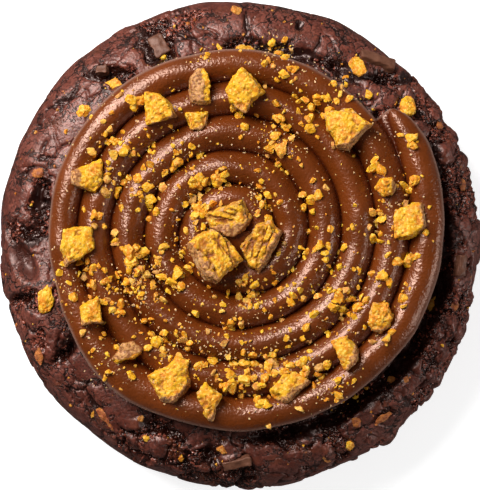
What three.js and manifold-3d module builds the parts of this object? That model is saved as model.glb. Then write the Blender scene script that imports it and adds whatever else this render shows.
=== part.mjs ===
// A thick chocolate cookie with a piped chocolate swirl on top and broken aerated toffee scattered over it.
// Millimetres, +Z up. The origin is on the table, under the middle of the cookie.
import * as THREE from "three";
import { mergeVertices } from "three/addons/utils/BufferGeometryUtils.js";
import Module from "manifold-3d";

// Driving dimensions of the cookie
const COOKIE_RADIUS = 55.3; // mean plan radius before the crust lumps
const COOKIE_HEIGHT = 23; // table to the flat seat under the swirl
const SEAT_RADIUS = 40; // where the flat seat starts to roll over into the shoulder
const WIDEST_HEIGHT = 9; // height of the widest part of the side
const BASE_RADIUS = 49.5; // flat underside
const SHOULDER_POWER = 2.6; // superellipse power of the shoulder: 2 is round, more is squarer
const FOOT_POWER = 2.2;
const OVAL_AMOUNT = 0.46; // the plan is slightly oval
const OVAL_TURN = 71; // degrees by which the oval is turned

// Cracked crust: plates at slightly different levels with cracks between them, over broad swells
const PLATE_SIZE = 15;
const PLATE_RISE = 0.5;
const PLATE_LEVEL = 0.5; // share of the plate size at which a plate is level with the smooth cookie
const PLATE_STEP = 0.6; // largest difference in level between plates
const PLATE_WANDER = 2.2; // how far the cracks stray from straight lines
const CRACK_DEPTH = 0.7;
const CRACK_WIDTH = 1.4;
const SWELL_SIZE = 11;
const SWELL_RISE = 0.5;
const FOOT_FADE = 3; // the relief dies out over this height above the table

// Gaps in the crust: compass angle in degrees, plan radius, turn from the rim's own direction in degrees,
// half length, half width and depth
const CREVICES = [
  [4, 47.5, 0, 7.0, 1.3, 3.4],
  [22, 48.4, 0, 6.0, 1.4, 2.6],
  [36, 51.5, 0, 3.0, 1.4, 1.6],
  [48, 51.0, -40, 5.2, 1.2, 2.8],
  [59, 46.0, 0, 3.2, 1.6, 2.6],
  [76, 45.6, 0, 10.0, 1.4, 2.4],
  [112.5, 48.6, 90, 4.4, 3.0, 3.2],
  [127.5, 48.8, 39, 4.8, 1.3, 3.4],
  [167.3, 46.9, 0, 4.2, 1.8, 3.6],
  [178, 48.6, 90, 3.4, 2.2, 1.8],
  [194, 51.2, 90, 2.4, 1.2, 2.0],
  [212, 46.9, 70, 3.4, 1.5, 3.0],
  [247, 46.0, 0, 5.0, 1.4, 2.2],
  [262, 48.8, 90, 2.6, 2.0, 2.0],
  [283, 44.8, 0, 8.0, 1.5, 2.8],
  [304, 45.2, 0, 9.0, 1.8, 4.0],
  [325, 46.2, 0, 8.0, 1.9, 4.0],
  [345, 47.0, 0, 8.0, 1.6, 3.6],
];
const CREVICE_WANDER = 0.9; // how far the edges of the gaps stray
// Smooth dents, by the same measures
const DENTS = [
  [184.6, 49.9, -27, 4.6, 2.2, 3.2],
  [322, 53.7, 0, 2.5, 1.4, 1.2],
];
const DENT_STEEPNESS = 2; // above 1, a dent has a flat floor and steep sides

// Driving dimensions of the swirl
const SWIRL_CENTRE = new THREE.Vector3(-1.0, 2.9, 0);
const SWIRL_START = 8.9; // outer radius of the rope after its first turn
const SWIRL_PITCH = 7.69; // rope width, and so the growth in one turn
const SWIRL_TURNS = 5.107; // turns after the first
// Where the outer edge of the swirl stands out or draws in: compass angle and spread in degrees, amount
const EDGE_WAVES = [
  [232, 22, 1.4],
  [190, 30, -1.2],
  [150, 24, -0.6],
  [252, 12, -0.6],
  [105, 22, -0.5],
  [26, 14, 0.9],
];
const GROOVE_HEIGHT = 3.2; // above the seat
const CREST_HEIGHT = 6.5;
const ROPE_POWER = 1.7; // the rope's cross-section: 1 is an ellipse, more has steeper sides
const EDGE_POWER = 1; // the same for the bare outer side of the last turn
const TAIL_TAPER = 0.057; // turns over which the rope's end narrows
const TAIL_MIDDLE = 0.5; // share of the way across the rope at which its end comes to a point
const BLOB_OFFSET = 0.6; // the high point of the centre blob lies off the swirl's centre
const SEAT_GAP = 0.3; // between the cookie and the swirl
// The swirl's outer wall below the groove: how far it curls in, and its height above the seat
const WALL_LEVELS = [
  [0.25, 1.6],
  [1.1, SEAT_GAP],
];

// Broken toffee: plan place, thickness, lean about X and Y in degrees, and the corners of the outline
const CHUNKS = [
  {
    at: [-18.7, 31.0], thick: 5.6, lean: [6, -5],
    corners: [[-2.6, 3.9], [0.2, 3.5], [2.6, 2.2], [4.7, -1.8], [-2.2, -3.8]],
  },
  {
    at: [-9.6, 35.0], thick: 5.4, lean: [-4, 8],
    corners: [[-2.2, 2.6], [-0.6, 4.4], [1.0, 4.8], [2.1, 3.2], [2.4, -3.2], [-1.9, -3.4]],
  },
  {
    at: [-9.9, 28.4], thick: 4.4, lean: [5, 3],
    corners: [[-2.9, 1.7], [2.7, 1.9], [2.3, -1.4], [0.8, -2.4], [-1.6, -2.1]],
  },
  {
    at: [1.1, 35.1], thick: 5.8, lean: [4, -6],
    corners: [[-0.2, 5.5], [3.4, 2.0], [4.9, -0.6], [2.4, -2.6], [0.9, -5.4], [-2.8, -3.8], [-4.0, 0.2]],
  },
  {
    at: [24.4, 26.0], thick: 6.0, lean: [-7, -4],
    corners: [[-5.3, 3.4], [1.0, 4.2], [5.8, 0.6], [0.6, -5.0], [-1.9, -4.6], [-4.2, -0.6]],
  },
  {
    at: [-34.7, 15.5], thick: 5.6, lean: [5, 8],
    corners: [[2.8, 4.1], [-1.2, 2.3], [-3.6, 1.0], [-3.9, -1.6], [1.6, -3.9], [3.4, -0.6]],
  },
  {
    at: [-37.4, -0.2], thick: 5.8, lean: [-4, 7],
    corners: [[-3.4, 3.4], [-3.6, -1.0], [-2.6, -5.3], [0.6, -3.6], [3.9, -1.2], [3.7, 4.1]],
  },
  {
    at: [-34.2, -15.5], thick: 5.0, lean: [3, 6],
    corners: [[-2.5, 1.4], [-1.8, -2.8], [2.6, -2.3], [2.3, 0.8], [1.7, 3.5]],
  },
  {
    at: [-25.8, -24.9], thick: 4.6, lean: [-9, 4],
    corners: [[-3.4, -1.8], [-2.6, -3.2], [1.8, -1.4], [3.6, 0.2], [1.6, 2.6], [-1.4, 1.4]],
  },
  {
    at: [-16.2, -31.2], thick: 6.6, lean: [-6, 3],
    corners: [[-5.2, 0.8], [-1.8, -4.8], [1.0, -5.8], [4.5, -1.4], [4.7, 4.3], [1.8, 5.4], [-0.4, 3.2]],
  },
  {
    at: [-6.6, -35.6], thick: 5.2, lean: [4, -5],
    corners: [[-0.8, 4.2], [-2.9, 2.0], [-2.2, -0.8], [-0.4, -4.2], [0.8, -4.3], [2.9, 1.4]],
  },
  {
    at: [11.2, -33.3], thick: 5.8, lean: [-10, 6],
    corners: [[-4.6, -0.6], [-3.8, -1.8], [-1.4, -4.0], [4.5, 1.2], [3.4, 2.7], [1.0, 3.8], [-2.0, 2.8]],
  },
  {
    at: [24.4, -24.4], thick: 5.4, lean: [5, -7],
    corners: [[-3.3, 2.6], [-1.4, -0.4], [-0.2, -3.9], [0.6, -4.2], [2.8, -2.0], [3.2, 0.2], [0.4, 4.0]],
  },
  {
    at: [31.7, -16.2], thick: 5.0, lean: [3, 3],
    corners: [[-1.6, 3.2], [-3.0, -1.8], [-1.8, -3.4], [0.2, -3.9], [2.2, -2.4], [3.0, -0.2], [2.0, 3.2]],
  },
  {
    at: [38.8, 5.0], thick: 5.8, lean: [-5, -7],
    corners: [[-3.4, 2.8], [-3.2, -4.7], [0.8, -4.0], [4.0, -1.4], [3.4, 4.3]],
  },
  {
    at: [32.8, 13.0], thick: 4.2, lean: [4, 4],
    corners: [[-0.8, 2.0], [-2.2, -0.2], [-0.6, -2.2], [1.6, -1.6], [2.3, 0.2], [1.6, 2.0]],
  },
  {
    at: [-6.4, -3.2], thick: 7.6, lean: [-7, 9],
    corners: [[-6.3, 3.0], [-4.8, -1.0], [-2.2, -5.2], [0.2, -6.5], [6.3, -1.0], [3.6, 3.2], [-0.6, 6.1]],
  },
  {
    at: [-2.1, 6.7], thick: 6.2, lean: [8, -3],
    corners: [[-5.6, 0.8], [-4.8, -1.4], [-3.2, -3.6], [0.8, -4.6], [3.6, -3.2], [5.0, -0.2], [3.0, 4.0]],
  },
  {
    at: [5.4, -0.4], thick: 7.0, lean: [5, -9],
    corners: [[-0.6, 5.6], [-4.6, 0.2], [-2.8, -4.2], [-0.6, -5.8], [1.2, -3.6], [4.8, 3.4], [2.6, 6.0]],
  },
];
const CHUNK_SINK = 1.3; // how far a chunk is pressed into the swirl
const CHUNK_EDGE = 3.4; // longest straight stretch of a broken edge
const CHUNK_ROUGHNESS = 0.35;
// Levels of a chunk from top to bottom: share of the outline, and share of the thickness
const CHUNK_LEVELS = [
  [0.86, 0.94],
  [1.0, 0.55],
  [0.8, 0],
];
const POCKET_GAP = 0.35; // clear space between a chunk and its pocket

// Drifts of toffee crumbs: plan place of the largest crumb, its size, the drift's spread and its count
const CRUMB_DRIFTS = [
  [-24.6, -2.1, 4.6, 4.0, 9],
  [-14.1, -6.8, 3.6, 3.0, 6],
  [-30.3, -8.4, 3.0, 4.2, 9],
  [-27.0, -13.8, 2.8, 4.4, 9],
  [-19.2, -22.6, 3.4, 3.0, 8],
  [-6.4, -26.8, 3.2, 2.6, 6],
  [1.2, -27.6, 3.2, 3.8, 10],
  [7.4, -27.2, 3.8, 2.8, 8],
  [-1.7, -32.6, 4.2, 2.6, 5],
  [5.6, -36.4, 3.6, 2.4, 4],
  [-3.2, -19.2, 3.0, 3.4, 4],
  [3.0, -11.8, 3.2, 2.4, 6],
  [11.6, -13.0, 2.8, 3.4, 6],
  [22.6, -12.2, 3.2, 3.2, 9],
  [26.7, -14.4, 3.0, 3.0, 6],
  [32.6, -7.8, 3.6, 2.4, 4],
  [38.2, -3.6, 4.4, 2.8, 6],
  [36.4, -12.6, 2.8, 3.0, 4],
  [39.6, 14.2, 3.6, 2.4, 5],
  [30.8, 17.2, 4.2, 2.0, 4],
  [38.8, 24.0, 3.2, 3.0, 5],
  [16.4, 9.6, 3.2, 4.2, 6],
  [18.6, -0.4, 3.0, 4.0, 6],
  [9.4, 21.4, 4.0, 2.8, 7],
  [10.4, 26.8, 3.2, 2.4, 4],
  [16.2, 26.2, 2.8, 3.0, 4],
  [14.8, 33.0, 3.0, 2.6, 6],
  [20.0, 33.4, 3.0, 2.8, 6],
  [10.0, 38.4, 3.0, 2.6, 6],
  [-5.0, 14.4, 3.6, 2.8, 8],
  [-10.6, 10.4, 3.2, 2.8, 6],
  [-14.2, 18.6, 3.0, 3.4, 8],
  [-20.4, 10.4, 3.4, 3.6, 10],
  [-26.4, 14.2, 3.0, 3.8, 8],
  [-24.6, 33.0, 4.0, 2.6, 6],
  [-28.4, 23.0, 2.8, 3.2, 6],
  [-33.0, 6.4, 3.0, 3.0, 7],
  [6.8, 8.4, 2.6, 2.6, 5],
];
const CRUMB_SEED = 1907;
const SMALLEST_FUSED_CRUMB = 2.9; // finer crumbs are left out of the solids
const CRUMB_SINK = 0.32; // share of a crumb's height below the surface
const CRUMB_THINNING = 0.8; // power by which sizes fall off through a drift
const LUMP_UNEVENNESS = 0.2; // share by which a lump's corners come out nearer or farther

// Chocolate baked into the crust: compass angle, plan radius, length, width, height, turn from the radius
const CHOCOLATE_PIECES = [
  [112.2, 48.2, 5.4, 3.5, 3.6, 6],
  [128.4, 50.2, 2.8, 1.9, 2.4, 60],
  [53.1, 52.0, 8.5, 2.4, 2.6, 113],
  [269.4, 49.7, 6.8, 2.2, 2.2, 105],
  [354.3, 50.4, 4.8, 2.2, 2.4, 88],
];
// Toffee bits caught in the crust: compass angle, plan radius, length, width, turn from the radius
const RIM_BITS = [
  [195.7, 46.2, 5.8, 4.0, 80],
  [39, 49.4, 4.6, 4.0, 50],
  [56, 48.5, 4.4, 3.4, 80],
  [139.6, 46.4, 3.3, 2.7, 60],
  [128.8, 45.8, 4.4, 3.2, 80],
  [341.8, 46.1, 5.0, 2.4, 80],
  [232.6, 50.4, 5.8, 2.6, 70],
  [209.8, 52.3, 4.4, 2.6, 50],
  [90.5, 53.3, 3.2, 2.6, 30],
  [344, 50.9, 3.0, 2.2, 80],
  [309.7, 51.4, 4.2, 1.6, 80],
];
const RIM_BIT_HEIGHT = 0.8; // share of a bit's width
const PIECE_SINK = 0.45; // share of a crust piece's height that is buried

// Colours and finishes
const DOUGH_FINISH = { color: 0x4a2a22, roughness: 0.75, metalness: 0 };
const SWIRL_FINISH = { color: 0x6b3c24, roughness: 0.38, metalness: 0 };
const TOFFEE_FINISH = { color: 0xeda91f, roughness: 0.7, metalness: 0 };

// Mesh density
const RIM_SEGMENTS = 116;
const SHOULDER_RINGS = 9;
const FOOT_RINGS = 5;
const STEPS_PER_TURN = 46;
const ROPE_SIDES = 6;
const SWIRL_STEPS = Math.round(SWIRL_TURNS * STEPS_PER_TURN);

const wasm = await Module();
wasm.setup();

const radians = THREE.MathUtils.degToRad;
const UP = new THREE.Vector3(0, 0, 1);

function onCircle(angle, radius, z) {
  return new THREE.Vector3(radius * Math.cos(angle), radius * Math.sin(angle), z);
}

// A repeatable stream of numbers from 0 to 1
function randomFrom(seed) {
  let state = (seed * 1000003) % 2147483647;
  return () => {
    state = (state * 16807) % 2147483647;
    return state / 2147483647;
  };
}

// A repeatable number from 0 to 1 for a lattice point
function hash(i, j, k, salt) {
  const wave = Math.sin(i * 127.1 + j * 311.7 + k * 74.7 + salt * 53.3) * 43758.5453;
  return wave - Math.floor(wave);
}

// Growing lists of points and triangles
class Surface {
  points = [];
  faces = [];

  add(point) {
    return this.points.push(point) - 1;
  }

  // Faces between two rows of points, the second below the first
  band(upper, lower) {
    for (let i = 0; i + 1 < upper.length; i++) {
      this.faces.push(upper[i], lower[i], lower[i + 1], upper[i], lower[i + 1], upper[i + 1]);
    }
  }

  fan(apex, loop) {
    loop.forEach((corner, i) => this.faces.push(apex, corner, loop[(i + 1) % loop.length]));
  }

  geometry() {
    return new THREE.BufferGeometry().setFromPoints(this.points).setIndex(this.faces);
  }
}

// Closed surface through rings of equal length, from top to bottom, with a fan at each end
function skin(rings, top, bottom) {
  const surface = new Surface();
  const rows = rings.map((ring) => ring.map((point) => surface.add(point)));
  surface.fan(surface.add(top), rows[0]);
  for (let i = 0; i + 1 < rows.length; i++) {
    surface.band([...rows[i], rows[i][0]], [...rows[i + 1], rows[i + 1][0]]);
  }
  surface.fan(surface.add(bottom), rows.at(-1).toReversed());
  return surface.geometry();
}

// Distances from a point to the nearest two of a scatter of points, one to each cubic cell, and a number
// from 0 to 1 that belongs to the nearest one
function nearestTwo(point, cell) {
  const home = point.clone().divideScalar(cell).floor();
  let first = Infinity;
  let second = Infinity;
  let own = 0;
  for (let n = 0; n < 27; n++) {
    const i = home.x + (n % 3) - 1;
    const j = home.y + (Math.floor(n / 3) % 3) - 1;
    const k = home.z + Math.floor(n / 9) - 1;
    const seed = new THREE.Vector3(i + hash(i, j, k, 1), j + hash(i, j, k, 2), k + hash(i, j, k, 3));
    const distance = seed.multiplyScalar(cell).distanceTo(point);
    if (distance < first) {
      second = first;
      first = distance;
      own = hash(i, j, k, 4);
    } else if (distance < second) {
      second = distance;
    }
  }
  return [first, second, own];
}

// Smooth noise from -1 to 1
function softNoise(point, cell, salt) {
  const scaled = point.clone().divideScalar(cell);
  const home = scaled.clone().floor();
  const ease = scaled.sub(home).toArray().map((part) => part * part * (3 - 2 * part));
  let total = 0;
  for (let n = 0; n < 8; n++) {
    const step = [n & 1, (n >> 1) & 1, (n >> 2) & 1];
    const weight = step.reduce((product, far, axis) => product * (far ? ease[axis] : 1 - ease[axis]), 1);
    total += weight * hash(home.x + step[0], home.y + step[1], home.z + step[2], salt);
  }
  return 2 * total - 1;
}

// Noise with a finer layer of half the strength
function layeredNoise(point, cell, salt) {
  return softNoise(point, cell, salt) + softNoise(point, cell / 2, salt + 1) / 2;
}

// A point moved about smoothly, so that a pattern over it loses its straight lines
function wander(point, cell, amount, salt) {
  const moves = [0, 1, 2].map((axis) => layeredNoise(point, cell, salt + 10 * axis));
  return new THREE.Vector3(...moves).multiplyScalar(amount).add(point);
}

// Depth at a point of the hollows that rows of compass angle, radius, turn and measures describe
function hollowDepth(point, rows, steepness = 1) {
  if (point.z < WIDEST_HEIGHT) return 0;
  const angle = Math.atan2(point.y, point.x);
  const radius = Math.hypot(point.x, point.y);
  let total = 0;
  for (const [degrees, place, turn, halfLength, halfWidth, depth] of rows) {
    const off = angle - radians(degrees);
    const along = Math.atan2(Math.sin(off), Math.cos(off)) * radius;
    const spot = new THREE.Vector3(along, radius - place, 0).applyAxisAngle(UP, -radians(turn));
    const away = (spot.x / halfLength) ** 2 + (spot.y / halfWidth) ** 2;
    total += depth * Math.exp(-(away ** steepness));
  }
  return total;
}

// How far the crust stands out at a point of the smooth cookie
function crustRelief(point) {
  const [near, next, own] = nearestTwo(wander(point, 5, PLATE_WANDER, 200), PLATE_SIZE);
  const plate = PLATE_RISE * (PLATE_LEVEL - near / PLATE_SIZE) + PLATE_STEP * (own - 0.5);
  const crack = CRACK_DEPTH * Math.exp((near - next) / CRACK_WIDTH);
  const swell = SWELL_RISE * layeredNoise(point, SWELL_SIZE, 20) - hollowDepth(point, DENTS, DENT_STEEPNESS);
  const gap = hollowDepth(wander(point, 3, CREVICE_WANDER, 230), CREVICES);
  return (plate - crack + swell - gap) * THREE.MathUtils.smoothstep(point.z, 0, FOOT_FADE);
}

// Smooth side of the cookie from the seat's edge down to the table: plan radius and height, ring by ring
function sideProfile() {
  const profile = [];
  for (let i = 0; i <= SHOULDER_RINGS; i++) {
    const turn = ((Math.PI / 2) * i) / SHOULDER_RINGS;
    const out = Math.sin(turn) ** (2 / SHOULDER_POWER);
    const up = Math.cos(turn) ** (2 / SHOULDER_POWER);
    const radius = SEAT_RADIUS + (COOKIE_RADIUS - SEAT_RADIUS) * out;
    profile.push(new THREE.Vector2(radius, WIDEST_HEIGHT + (COOKIE_HEIGHT - WIDEST_HEIGHT) * up));
  }
  for (let i = 1; i <= FOOT_RINGS; i++) {
    const turn = ((Math.PI / 2) * i) / FOOT_RINGS;
    const out = Math.cos(turn) ** (2 / FOOT_POWER);
    const down = Math.sin(turn) ** (2 / FOOT_POWER);
    const radius = BASE_RADIUS + (COOKIE_RADIUS - BASE_RADIUS) * out;
    profile.push(new THREE.Vector2(radius, WIDEST_HEIGHT * (1 - down)));
  }
  return profile;
}

// One ring of the crust, moved off the smooth cookie along its outward direction in the profile
function crustRing({ x: radius, y: z }, outward, hasRelief) {
  return Array.from({ length: RIM_SEGMENTS }, (_, j) => {
    const angle = (2 * Math.PI * j) / RIM_SEGMENTS;
    const oval = OVAL_AMOUNT * Math.cos(2 * (angle + radians(OVAL_TURN))) * (radius / COOKIE_RADIUS);
    const relief = hasRelief ? crustRelief(onCircle(angle, radius + oval, z)) : 0;
    const height = THREE.MathUtils.clamp(z + outward.y * relief, 0, COOKIE_HEIGHT);
    return onCircle(angle, radius + oval + outward.x * relief, height);
  });
}

// The baked dough: a round slab with a rolled shoulder and a cracked crust
function makeDough() {
  const profile = sideProfile();
  const last = profile.length - 1;
  const rings = profile.map((place, i) => {
    const along = profile[Math.min(i + 1, last)].clone().sub(profile[Math.max(i - 1, 0)]);
    return crustRing(place, new THREE.Vector2(-along.y, along.x).normalize(), i > 0);
  });
  return skin(rings, new THREE.Vector3(0, 0, COOKIE_HEIGHT), new THREE.Vector3(0, 0, 0));
}

// Outer radius of the rope, in turns counted from its second pass over +X
function swirlRadius(turns) {
  let wave = 0;
  for (const [degrees, spread, amount] of EDGE_WAVES) {
    const off = turns * 360 - degrees;
    wave += amount * Math.exp(-(((off - 360 * Math.round(off / 360)) / spread) ** 2));
  }
  const outer = THREE.MathUtils.smoothstep(turns, SWIRL_TURNS - 1.4, SWIRL_TURNS - 1);
  return SWIRL_START + SWIRL_PITCH * turns + outer * wave;
}

// Share of its full width that the rope has, which runs out round at the tail
function tailShare(turns) {
  const into = (turns - (SWIRL_TURNS - TAIL_TAPER)) / TAIL_TAPER;
  return into <= 0 ? 1 : Math.sqrt(Math.max(1 - into * into, 0));
}

// A point of the rope: share of the way across it from its inner groove, and height above the seat
function ropePoint(step, across, height) {
  const turns = step / STEPS_PER_TURN;
  const inner = swirlRadius(turns - 1);
  const narrowed = TAIL_MIDDLE + (across - TAIL_MIDDLE) * tailShare(turns);
  const radius = inner + (swirlRadius(turns) - inner) * narrowed;
  return onCircle(2 * Math.PI * turns, radius, COOKIE_HEIGHT + height).add(SWIRL_CENTRE);
}

// The grooves between turns, as one row of points by step, the last one at the tip of the tail
function addGrooves(surface) {
  const grooves = new Map();
  for (let step = -STEPS_PER_TURN; step <= SWIRL_STEPS; step++) {
    grooves.set(step, surface.add(ropePoint(step, 1, GROOVE_HEIGHT)));
  }
  return grooves;
}

// Points over the round top of the rope at one step, from its inner groove to its outer one
function addRopeColumn(surface, grooves, step) {
  const column = [grooves.get(step - STEPS_PER_TURN)];
  for (let side = 1; side < ROPE_SIDES; side++) {
    const turn = (Math.PI * side) / ROPE_SIDES;
    const bare = step >= SWIRL_STEPS - STEPS_PER_TURN && turn > Math.PI / 2;
    const round = Math.sin(turn) ** (bare ? EDGE_POWER : ROPE_POWER);
    const rise = (CREST_HEIGHT - GROOVE_HEIGHT) * round * tailShare(step / STEPS_PER_TURN);
    const point = ropePoint(step, (1 - Math.cos(turn)) / 2, GROOVE_HEIGHT + rise);
    column.push(step < SWIRL_STEPS ? surface.add(point) : grooves.get(step));
  }
  return [...column, grooves.get(step)];
}

// The blob inside the first turn
function addBlob(surface, grooves, firstColumn) {
  const edge = [];
  for (let step = -STEPS_PER_TURN; step <= 0; step++) edge.push(grooves.get(step));
  edge.push(...firstColumn.slice(1, -1).toReversed());
  const top = onCircle(-Math.PI / 2, BLOB_OFFSET, COOKIE_HEIGHT + CREST_HEIGHT).add(SWIRL_CENTRE);
  surface.fan(surface.add(top), edge);
}

// The wall round the outer turn, which curls in to a flat underside
function addWall(surface, grooves) {
  let upper = [];
  for (let step = SWIRL_STEPS - STEPS_PER_TURN; step <= SWIRL_STEPS; step++) upper.push(grooves.get(step));
  const rim = upper.map((index) => surface.points[index]);
  for (const [tuck, height] of WALL_LEVELS) {
    const lower = rim.map((point) => {
      const inward = SWIRL_CENTRE.clone().sub(point).setZ(0).setLength(tuck);
      return surface.add(point.clone().add(inward).setZ(COOKIE_HEIGHT + height));
    });
    surface.band([...upper, upper[0]], [...lower, lower[0]]);
    upper = lower;
  }
  const under = surface.add(SWIRL_CENTRE.clone().setZ(COOKIE_HEIGHT + SEAT_GAP));
  surface.fan(under, upper.toReversed());
}

// The piped rope: each turn shares its inner groove with the turn inside it
function makeSwirl() {
  const surface = new Surface();
  const grooves = addGrooves(surface);
  const columns = [];
  for (let step = 0; step <= SWIRL_STEPS; step++) columns.push(addRopeColumn(surface, grooves, step));
  for (let step = 0; step < SWIRL_STEPS; step++) surface.band(columns[step + 1], columns[step]);
  addBlob(surface, grooves, columns[0]);
  addWall(surface, grooves);
  return surface.geometry();
}

// Height of a surface above a plan point, or null beside it
function topAt(geometry, x, y) {
  const above = new THREE.Vector3(x, y, COOKIE_HEIGHT * 4);
  const ray = new THREE.Raycaster(above, new THREE.Vector3(0, 0, -1));
  const [hit] = ray.intersectObject(new THREE.Mesh(geometry), false);
  return hit ? hit.point.z : null;
}

function solidOf(geometry) {
  const bare = geometry.clone();
  for (const name of ["normal", "uv"]) bare.deleteAttribute(name);
  const merged = mergeVertices(bare, 1e-4);
  const mesh = new wasm.Mesh({
    numProp: 3,
    vertProperties: merged.attributes.position.array,
    triVerts: new Uint32Array(merged.index.array),
  });
  return new wasm.Manifold(mesh);
}

// The largest body of a solid as a geometry, without loose scraps
function geometryOf(solid) {
  const [largest] = solid.decompose().sort((a, b) => b.volume() - a.volume());
  const mesh = largest.getMesh();
  const geometry = new THREE.BufferGeometry();
  geometry.setAttribute("position", new THREE.BufferAttribute(mesh.vertProperties, 3));
  return geometry.setIndex(new THREE.BufferAttribute(mesh.triVerts, 1));
}

// Outline of a broken chunk: its corners, with points between them on the longer edges
function brokenOutline(corners) {
  const outline = [];
  corners.forEach((corner, i) => {
    const from = new THREE.Vector2(...corner);
    const to = new THREE.Vector2(...corners[(i + 1) % corners.length]);
    const pieces = Math.ceil(from.distanceTo(to) / CHUNK_EDGE);
    for (let n = 0; n < pieces; n++) outline.push(from.clone().lerp(to, n / pieces));
  });
  return THREE.ShapeUtils.isClockWise(outline) ? outline.reverse() : outline;
}

// A broken chunk in its place, made larger all round by grow
function makeChunk({ at, thick, lean, corners }, seat, seed, grow) {
  const random = randomFrom(seed);
  const rough = () => CHUNK_ROUGHNESS * (2 * random() - 1);
  const outline = brokenOutline(corners);
  const growth = [grow, 0, -grow]; // up at the top level, down at the bottom one
  const rings = CHUNK_LEVELS.map(([share, height], level) =>
    outline.map((corner) => {
      const { x, y } = corner.clone().setLength(share * corner.length() + grow + rough());
      return new THREE.Vector3(x, y, height * thick + growth[level] + (height > 0 ? rough() : 0));
    }),
  );
  const geometry = skin(rings, new THREE.Vector3(0, 0, thick + grow), new THREE.Vector3(0, 0, -grow));
  geometry.rotateX(radians(lean[0])).rotateY(radians(lean[1]));
  return geometry.translate(at[0], at[1], seat);
}

// A rough lump with a length, width and height
function makeLump(length, width, height, random) {
  const ball = new THREE.IcosahedronGeometry(0.5, 0).deleteAttribute("normal").deleteAttribute("uv");
  const lump = mergeVertices(ball);
  const position = lump.attributes.position;
  const corner = new THREE.Vector3();
  for (let i = 0; i < position.count; i++) {
    const share = 1 + LUMP_UNEVENNESS * (2 * random() - 1);
    corner.fromBufferAttribute(position, i).multiplyScalar(share);
    position.setXYZ(i, corner.x, corner.y, corner.z);
  }
  return lump.scale(length, width, height);
}

// Crumbs of a drift: the largest at its middle, smaller ones scattered round it
function driftCrumbs([x, y, largest, spread, count], random) {
  return Array.from({ length: count }, (_, n) => {
    const angle = 2 * Math.PI * random();
    const away = spread * (0.3 + 0.9 * random()) * (n > 0 ? 1 : 0);
    const length = largest * (1 - n / count) ** CRUMB_THINNING;
    const width = length * (0.6 + 0.3 * random());
    const height = length * (0.5 + 0.2 * random());
    const turn = Math.PI * random();
    return { x: x + away * Math.cos(angle), y: y + away * Math.sin(angle), length, width, height, turn };
  });
}

// Crumbs that show from a step away, as solids on the swirl
function makeCrumbs(swirl) {
  const random = randomFrom(CRUMB_SEED);
  const crumbs = CRUMB_DRIFTS.flatMap((drift) => driftCrumbs(drift, random));
  const large = crumbs.filter(({ length }) => length >= SMALLEST_FUSED_CRUMB);
  const onSwirl = large.filter(({ x, y }) => topAt(swirl, x, y) !== null);
  return onSwirl.map(({ x, y, length, width, height, turn }, i) => {
    const lump = makeLump(length, width, height, randomFrom(i + 1)).rotateZ(turn);
    return solidOf(lump.translate(x, y, topAt(swirl, x, y) + height * (0.5 - CRUMB_SINK)));
  });
}

// Angle of the smooth shoulder below level at a plan radius
function shoulderSlope(radius) {
  const out = (radius - SEAT_RADIUS) / (COOKIE_RADIUS - SEAT_RADIUS);
  const rest = 1 - out ** SHOULDER_POWER;
  const fall = out ** (SHOULDER_POWER - 1) * rest ** (1 / SHOULDER_POWER - 1);
  return Math.atan((fall * (COOKIE_HEIGHT - WIDEST_HEIGHT)) / (COOKIE_RADIUS - SEAT_RADIUS));
}

// Pieces caught in the crust, lying along the shoulder and standing partly out of it
function makeCrustPieces(dough) {
  const seated = (shape, degrees, radius, height, turn) => {
    const place = onCircle(radians(degrees), radius, 0);
    shape.rotateZ(radians(turn)).translate(0, 0, height * (0.5 - PIECE_SINK));
    shape.rotateY(shoulderSlope(radius)).rotateZ(radians(degrees));
    return solidOf(shape.translate(place.x, place.y, topAt(dough, place.x, place.y)));
  };
  const chocolate = CHOCOLATE_PIECES.map(([degrees, radius, length, width, height, turn]) =>
    seated(new THREE.BoxGeometry(length, width, height), degrees, radius, height, turn),
  );
  const random = randomFrom(CRUMB_SEED + 1);
  const bits = RIM_BITS.map(([degrees, radius, length, width, turn]) => {
    const height = width * RIM_BIT_HEIGHT;
    return seated(makeLump(length, width, height, random), degrees, radius, height, turn);
  });
  return [...chocolate, ...bits];
}

const join = (solid, pieces) => pieces.reduce((whole, piece) => whole.add(piece), solid);
const cut = (solid, pieces) => pieces.reduce((whole, piece) => whole.subtract(piece), solid);

function named(name, geometry, finish) {
  const mesh = new THREE.Mesh(geometry, new THREE.MeshStandardMaterial(finish));
  mesh.name = name;
  return mesh;
}

const dough = makeDough();
const swirl = makeSwirl();
const seats = CHUNKS.map(({ at }) => topAt(swirl, at[0], at[1]) - CHUNK_SINK);
const pockets = CHUNKS.map((chunk, i) => solidOf(makeChunk(chunk, seats[i], i + 1, POCKET_GAP)));
const doughWithPieces = join(solidOf(dough), makeCrustPieces(dough));
const swirlWithCrumbs = cut(join(solidOf(swirl), makeCrumbs(swirl)), pockets);

const cookie = new THREE.Group();
cookie.add(named("cookie", geometryOf(doughWithPieces), DOUGH_FINISH));
cookie.add(named("swirl", geometryOf(swirlWithCrumbs), SWIRL_FINISH));
CHUNKS.forEach((chunk, i) => {
  const name = `toffee_${String(i + 1).padStart(2, "0")}`;
  cookie.add(named(name, makeChunk(chunk, seats[i], i + 1, 0), TOFFEE_FINISH));
});

export default cookie;
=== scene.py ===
import itertools
import math

import bmesh
import bpy
import numpy as np
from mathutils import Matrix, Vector
from mathutils.bvhtree import BVHTree


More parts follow.
